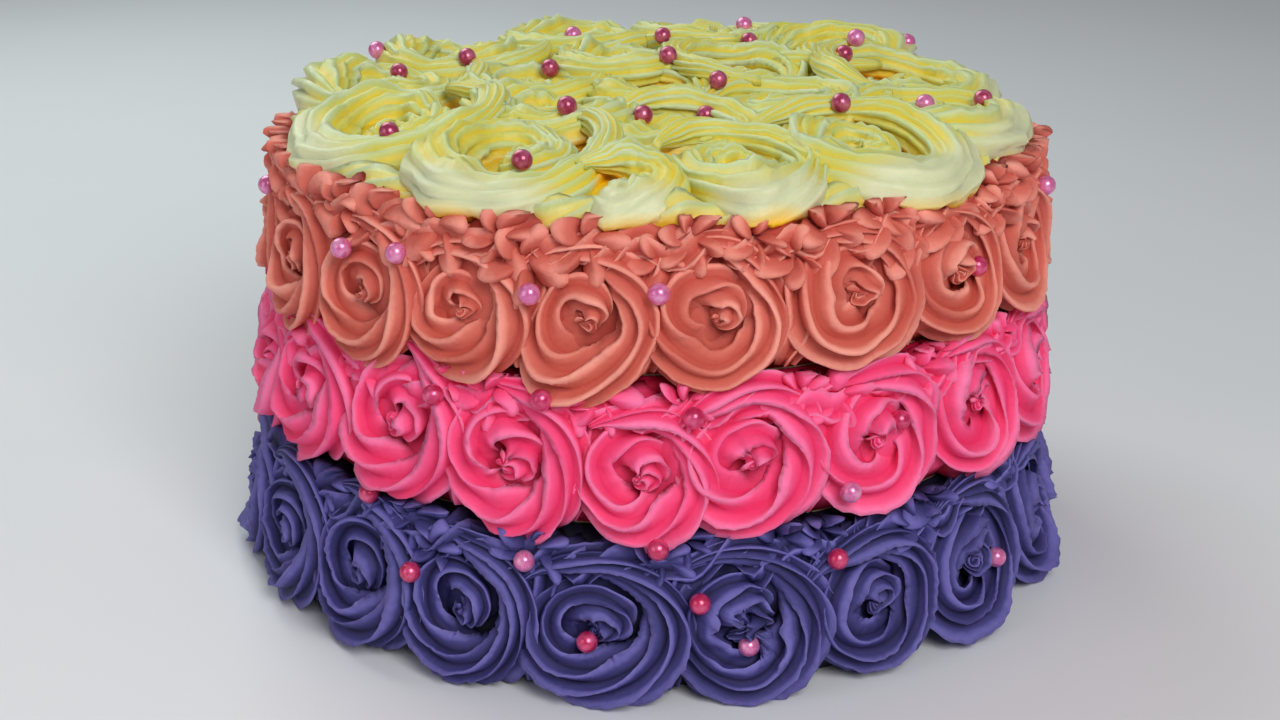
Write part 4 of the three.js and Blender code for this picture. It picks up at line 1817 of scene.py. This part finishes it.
@dataclass
class PearlScatter:
    """The sugar pearls, each laid on the icing where a line of sight or a line to the axis meets it.

    The pearls that the camera sees are given by the pixels at which the photograph shows them. The run-up
    is in metres.
    """

    PALE_PIXELS = (
        (264, 184), (377, 50), (573, 35), (744, 25), (856, 38), (919, 32), (925, 104), (1058, 183),
        (341, 248), (396, 253), (529, 294), (659, 294), (524, 561), (749, 646), (851, 492), (996, 557),
    )
    ROSE_PIXELS = (
        (977, 266), (900, 420), (694, 418), (541, 400), (433, 395), (369, 493), (410, 572), (658, 550),
        (838, 559), (700, 604), (587, 642),
    )
    DARK_PIXELS = (
        (399, 72), (467, 57), (550, 68), (567, 106), (643, 115), (389, 132), (522, 160), (663, 36),
        (668, 55), (749, 41), (718, 80), (706, 115), (844, 54), (841, 103), (983, 99),
    )
    SEEN_PIXELS = {
        PearlColour.PALE: PALE_PIXELS,
        PearlColour.ROSE: ROSE_PIXELS,
        PearlColour.DARK: DARK_PIXELS,
    }

    wall: SideWall
    studio: Studio
    radius: float = 3.05
    footprint: float = 0.9
    proud: float = 0.25
    rings: int = 11
    sides: int = 20
    behind_count: int = 24
    behind_angles: tuple[float, float] = (84.0, 276.0)
    behind_slip: float = 4.0
    behind_heights: tuple[float, float] = (16.0, 128.0)
    run_up: float = 0.1
    furthest_nudge: float = 0.15
    nudges: int = 31
    # Heights, and how far from the axis the piped surface is there, roughly.
    outline_levels: tuple[float, ...] = (0.0, 65.0, 136.5)
    outline_radii: tuple[float, ...] = (137.8, 130.0, 122.9)

    def find(self, origin: Vector, direction: Vector) -> Vector | None:
        """Follows a line until a pearl on it rests on the highest icing in its way.

        Args:
            origin: The line's start, in metres.
            direction: Its unit direction.

        Returns:
            Where the pearl's middle lies on the line, or None where the line meets nothing.
        """
        graph = bpy.context.evaluated_depsgraph_get()
        side = direction.orthogonal().normalized()
        across = direction.cross(side)
        spread = self.radius * self.footprint * METRES
        reached = []
        for offset in (Vector(), side * spread, -side * spread, across * spread, -across * spread):
            hit, place, _, _, _, _ = bpy.context.scene.ray_cast(graph, origin + offset, direction)
            if hit:
                reached.append((place - origin).dot(direction))
            elif not reached:
                return None
        # Icing that stands a pearl's width or more in front of what the middle line meets is passed by.
        near = [length for length in reached if reached[0] - length < 2 * self.radius * METRES]
        return origin + direction * (min(near) - self.radius * self.proud * METRES)

    def crest_point(self, angle: float, height: float) -> Vector:
        """Finds the piped surface, roughly, at a place on the side.

        Args:
            angle: The place's angle.
            height: Its height.

        Returns:
            The point, in metres.
        """
        reach = np.interp(height, self.outline_levels, self.outline_radii)
        turn = math.radians(angle)
        x = self.wall.axis_x + reach * math.sin(turn)
        y = self.wall.axis_y - reach * math.cos(turn)
        return Vector((x, y, height)) * METRES

    def sighted(self, pixel: tuple[float, float]) -> Vector | None:
        """Looks along a pixel, or as near it towards the cake's middle as there is icing.

        Args:
            pixel: The pixel in the photograph.

        Returns:
            The pearl's middle, or None where no icing is near.
        """
        eye = self.studio.eye()
        for share in np.linspace(0, self.furthest_nudge, self.nudges):
            near = [value + share * (middle - value) for value, middle in zip(pixel, self.studio.cake_pixel)]
            found = self.find(eye, self.studio.sight(*near))
            if found is not None:
                return found
        return None

    def unseen(self, chance: np.random.Generator) -> dict[PearlColour, list[Vector]]:
        """Spreads pearls where the camera doesn't see, by chance but well apart.

        Args:
            chance: The seeded source of random numbers.

        Returns:
            The pearls' middles by colour, in metres.
        """
        colours = list(PearlColour)
        laid = {colour: [] for colour in colours}
        slips = chance.uniform(-self.behind_slip, self.behind_slip, self.behind_count)
        angles = np.linspace(*self.behind_angles, self.behind_count) + slips
        heights = chance.permutation(np.linspace(*self.behind_heights, self.behind_count))
        for number, (angle, height) in enumerate(zip(angles, heights)):
            aim = self.crest_point(angle, height)
            towards_axis = (self.wall.axis_x * METRES - aim.x, self.wall.axis_y * METRES - aim.y, 0)
            inward = Vector(towards_axis).normalized()
            found = self.find(aim - inward * self.run_up, inward)
            if found is not None:
                laid[colours[number % len(colours)]].append(found)
        return laid

    def seen(self, colour: PearlColour) -> list[Vector]:
        """Works out where the middles of one colour's pearls are on the side that the camera sees.

        Args:
            colour: The pearls' colour.

        Returns:
            The middles, in metres.
        """
        found = [self.sighted(pixel) for pixel in self.SEEN_PIXELS[colour]]
        return [place for place in found if place is not None]

    def dress(self) -> list[bpy.types.Object]:
        """Lays the pearls, one piece for each colour.

        Returns:
            The pearls' pieces.
        """
        laid = self.unseen(np.random.default_rng(SEED))
        for colour in PearlColour:
            laid[colour] = self.seen(colour) + laid[colour]
        blank = np.zeros((self.rings, self.sides))
        pieces = []
        for colour, places in laid.items():
            batch = Batch()
            for place in places:
                batch.add_tube(self._ball(place), blank, blank)
            piece = batch.piece(f"pearls_{colour.name.lower()}", PEARL_FINISHES[colour].material())
            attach(piece, "root")
            LOG.info("%s: %d pearls", piece.name, len(places))
            pieces.append(piece)
        return pieces

    def _ball(self, middle: Vector) -> np.ndarray:
        """Lays out a pearl's points.

        Args:
            middle: The pearl's middle, in metres.

        Returns:
            Its rings of points, in millimetres.
        """
        tilt = np.linspace(-math.pi / 2, math.pi / 2, self.rings + 2)[1:-1, None]
        turn = np.linspace(0, FULL_TURN, self.sides, endpoint=False)[None]
        x, y = np.cos(tilt) * np.cos(turn), np.cos(tilt) * np.sin(turn)
        ball = np.stack([x, y, np.sin(tilt) + np.zeros_like(x)], axis=-1)
        return ball * self.radius + np.array(middle) / METRES


def side_rows(wall: SideWall) -> list[RosetteRow]:
    """Describes the three rows on the side.

    Args:
        wall: The cake's side.

    Returns:
        The rows from the bottom up.
    """
    violet = RosetteRow(
        IcingColour.VIOLET,
        "icing_violet",
        wall,
        bottom=0.0,
        top=48.4,
        radius=24.2,
        thickness=15.0,
        rosettes=(
            Spot(-59.1, 24.5, tail=130),
            Spot(-41.5, 24.8, wide=0.96, tall=1.02, tail=120),
            Spot(-24.8, 22.5, wide=0.9, tall=1.0, tail=125),
            Spot(-6.8, 22.2, wide=1.02, tall=0.95, tail=150),
            Spot(11.1, 22.0, wide=0.94, tall=1.0, tail=140, torn=1.8),
            Spot(28.9, 22.9, wide=0.96, tall=0.96, tail=160, twist=-0.1),
            Spot(46.7, 24.0, wide=0.95, tail=130),
            Spot(66.6, 24.5),
        ),
        stars=(
            Spot(-50, 44), Spot(-33, 45), Spot(-38.3, 49), Spot(-29, 38), Spot(-15.5, 43), Spot(0.5, 41.5),
            Spot(3.5, 46), Spot(21.5, 46), Spot(16, 45), Spot(35.6, 43), Spot(39, 47), Spot(56, 44),
        ),
        turns=2.0,
        rope_share=0.38,
        ragged=Ripple(0.32, 1.1, 3.1),
        steps_per_turn=57,
        nozzle=StarNozzle(teeth=10, trough=0.56, edge_share=0.4, offsets=(-0.5, -0.17, 0.0, 0.17)),
    )
    pink = RosetteRow(
        IcingColour.PINK,
        "icing_pink",
        wall,
        bottom=48.7,
        top=91.6,
        radius=23.2,
        thickness=14.3,
        rosettes=(
            Spot(-55.2, 71.8, tail=120),
            Spot(-35.6, 73.3, wide=0.95, tail=100),
            Spot(-18.7, 67.8, wide=0.91, tall=1.02, tail=110, twist=0.15),
            Spot(-1.9, 66.4, wide=0.86, tall=0.88, tail=135, twist=0.1),
            Spot(12.4, 70.4, wide=0.95, tall=0.97, tail=160),
            Spot(30.1, 71.1, wide=0.96, tall=0.98, tail=150),
            Spot(48.8, 71.8, wide=0.93, tall=0.95, tail=140),
            Spot(69.8, 69.5),
        ),
        stars=(
            Spot(-62, 86), Spot(-48, 88), Spot(-42.7, 84), Spot(-28, 88), Spot(-22, 86), Spot(-11.6, 84),
            Spot(-7.5, 88), Spot(4, 86), Spot(19.2, 87), Spot(24, 84), Spot(38, 86), Spot(42, 89),
            Spot(58, 86),
        ),
        turns=1.85,
        rope_share=0.41,
        twist=0.8,
        steps_per_turn=54,
        nozzle=StarNozzle(trough=0.56, offsets=(-0.5, -0.27, -0.12, 0.0, 0.12, 0.27)),
    )
    peach = RosetteRow(
        IcingColour.PEACH,
        "icing_peach",
        wall,
        bottom=91.9,
        top=133.0,
        radius=22.2,
        thickness=13.8,
        rosettes=(
            Spot(-61.3, 108.5),
            Spot(-42.6, 107.6, wide=0.96, tail=120),
            Spot(-26.0, 109.5, wide=0.95, tall=0.96, tail=165, twist=0.1),
            Spot(-8.8, 109.6, wide=0.92, tall=1.06, tail=150),
            Spot(8.1, 110.3, wide=0.9, tall=0.98, tail=120),
            Spot(27.2, 113.3, wide=0.98, tall=0.95, tail=140, twist=-0.1),
            Spot(45.5, 112.5, wide=0.9, tall=0.93, tail=120),
            Spot(65.7, 110.9),
        ),
        stars=(
            Spot(-88, 133), Spot(-80, 134), Spot(-72, 133), Spot(-69, 124), Spot(-64, 131), Spot(-56, 127),
            Spot(-48, 130), Spot(-40.5, 129), Spot(-34, 125), Spot(-30, 131), Spot(-20.5, 130),
            Spot(-17.5, 124), Spot(-9, 130), Spot(0.5, 126), Spot(4.5, 131), Spot(13, 130.5),
            Spot(18.5, 125.5), Spot(23, 131.5), Spot(32, 132), Spot(36.5, 126.5), Spot(43.6, 130),
            Spot(54.5, 126), Spot(56, 132), Spot(64, 133), Spot(71, 129), Spot(77, 134),
        ),
        turns=1.85,
        rope_share=0.41,
        steps_per_turn=55,
        nozzle=PETAL_NOZZLE,
        star_radius=12.6,
        star_sink=0.5,
        star_rise=4.5,
        border_sink=3.2,
        border_rise=2.5,
    )
    return [violet, pink, peach]


def report(pieces: Sequence[bpy.types.Object]) -> None:
    """Logs each piece with its number of faces."""
    for piece in pieces:
        LOG.info("%s: %d faces", piece.name, len(piece.data.polygons))


def main() -> None:
    """Builds the cake's pieces, the studio and the camera."""
    logging.basicConfig(level=logging.INFO, format="%(name)s %(message)s")
    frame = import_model()
    low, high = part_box("cake_body")
    axis_x, axis_y = ((low[side] + high[side]) / 2 / METRES for side in (0, 1))
    wall = SideWall(axis_x, axis_y, height=high[2] / METRES)
    chance = np.random.default_rng(SEED)

    body = frame["nodes"]["cake_body"]
    body.data.materials.clear()
    body.data.materials.append(CRUMB_FINISH.material())
    report([body])

    rows = side_rows(wall)
    piped = [row.pipe(chance) for row in rows]
    on_side = [batch for batches in piped for batch in batches.values()]
    # Each point's depth below its neighbours sets painted shade in the icing's colour.
    flats, outs = zip(*(wall.unrolled(batch.all_points()) for batch in on_side))
    SIDE_CAVITIES.shade(on_side, flats, outs)
    for row, batches in zip(rows, piped):
        report(row.dress(batches))

    top_low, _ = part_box("icing_yellow")
    crown = TopCrown(IcingColour.YELLOW, "icing_yellow", TopFace(axis_x, axis_y, top_low[2] / METRES))
    on_top = crown.pipe(chance)
    # Painted shade on the top, likewise, from each point's depth.
    points = [batch.all_points() for batch in on_top.values()]
    flats, outs = [each[:, :2] for each in points], [each[:, 2] for each in points]
    TOP_CAVITIES.shade(list(on_top.values()), flats, outs)
    report(crown.dress(on_top))

    studio = Studio(axis_x, axis_y)
    report(PearlScatter(wall, studio).dress())
    studio.build()


if __name__ == "__main__":
    main()
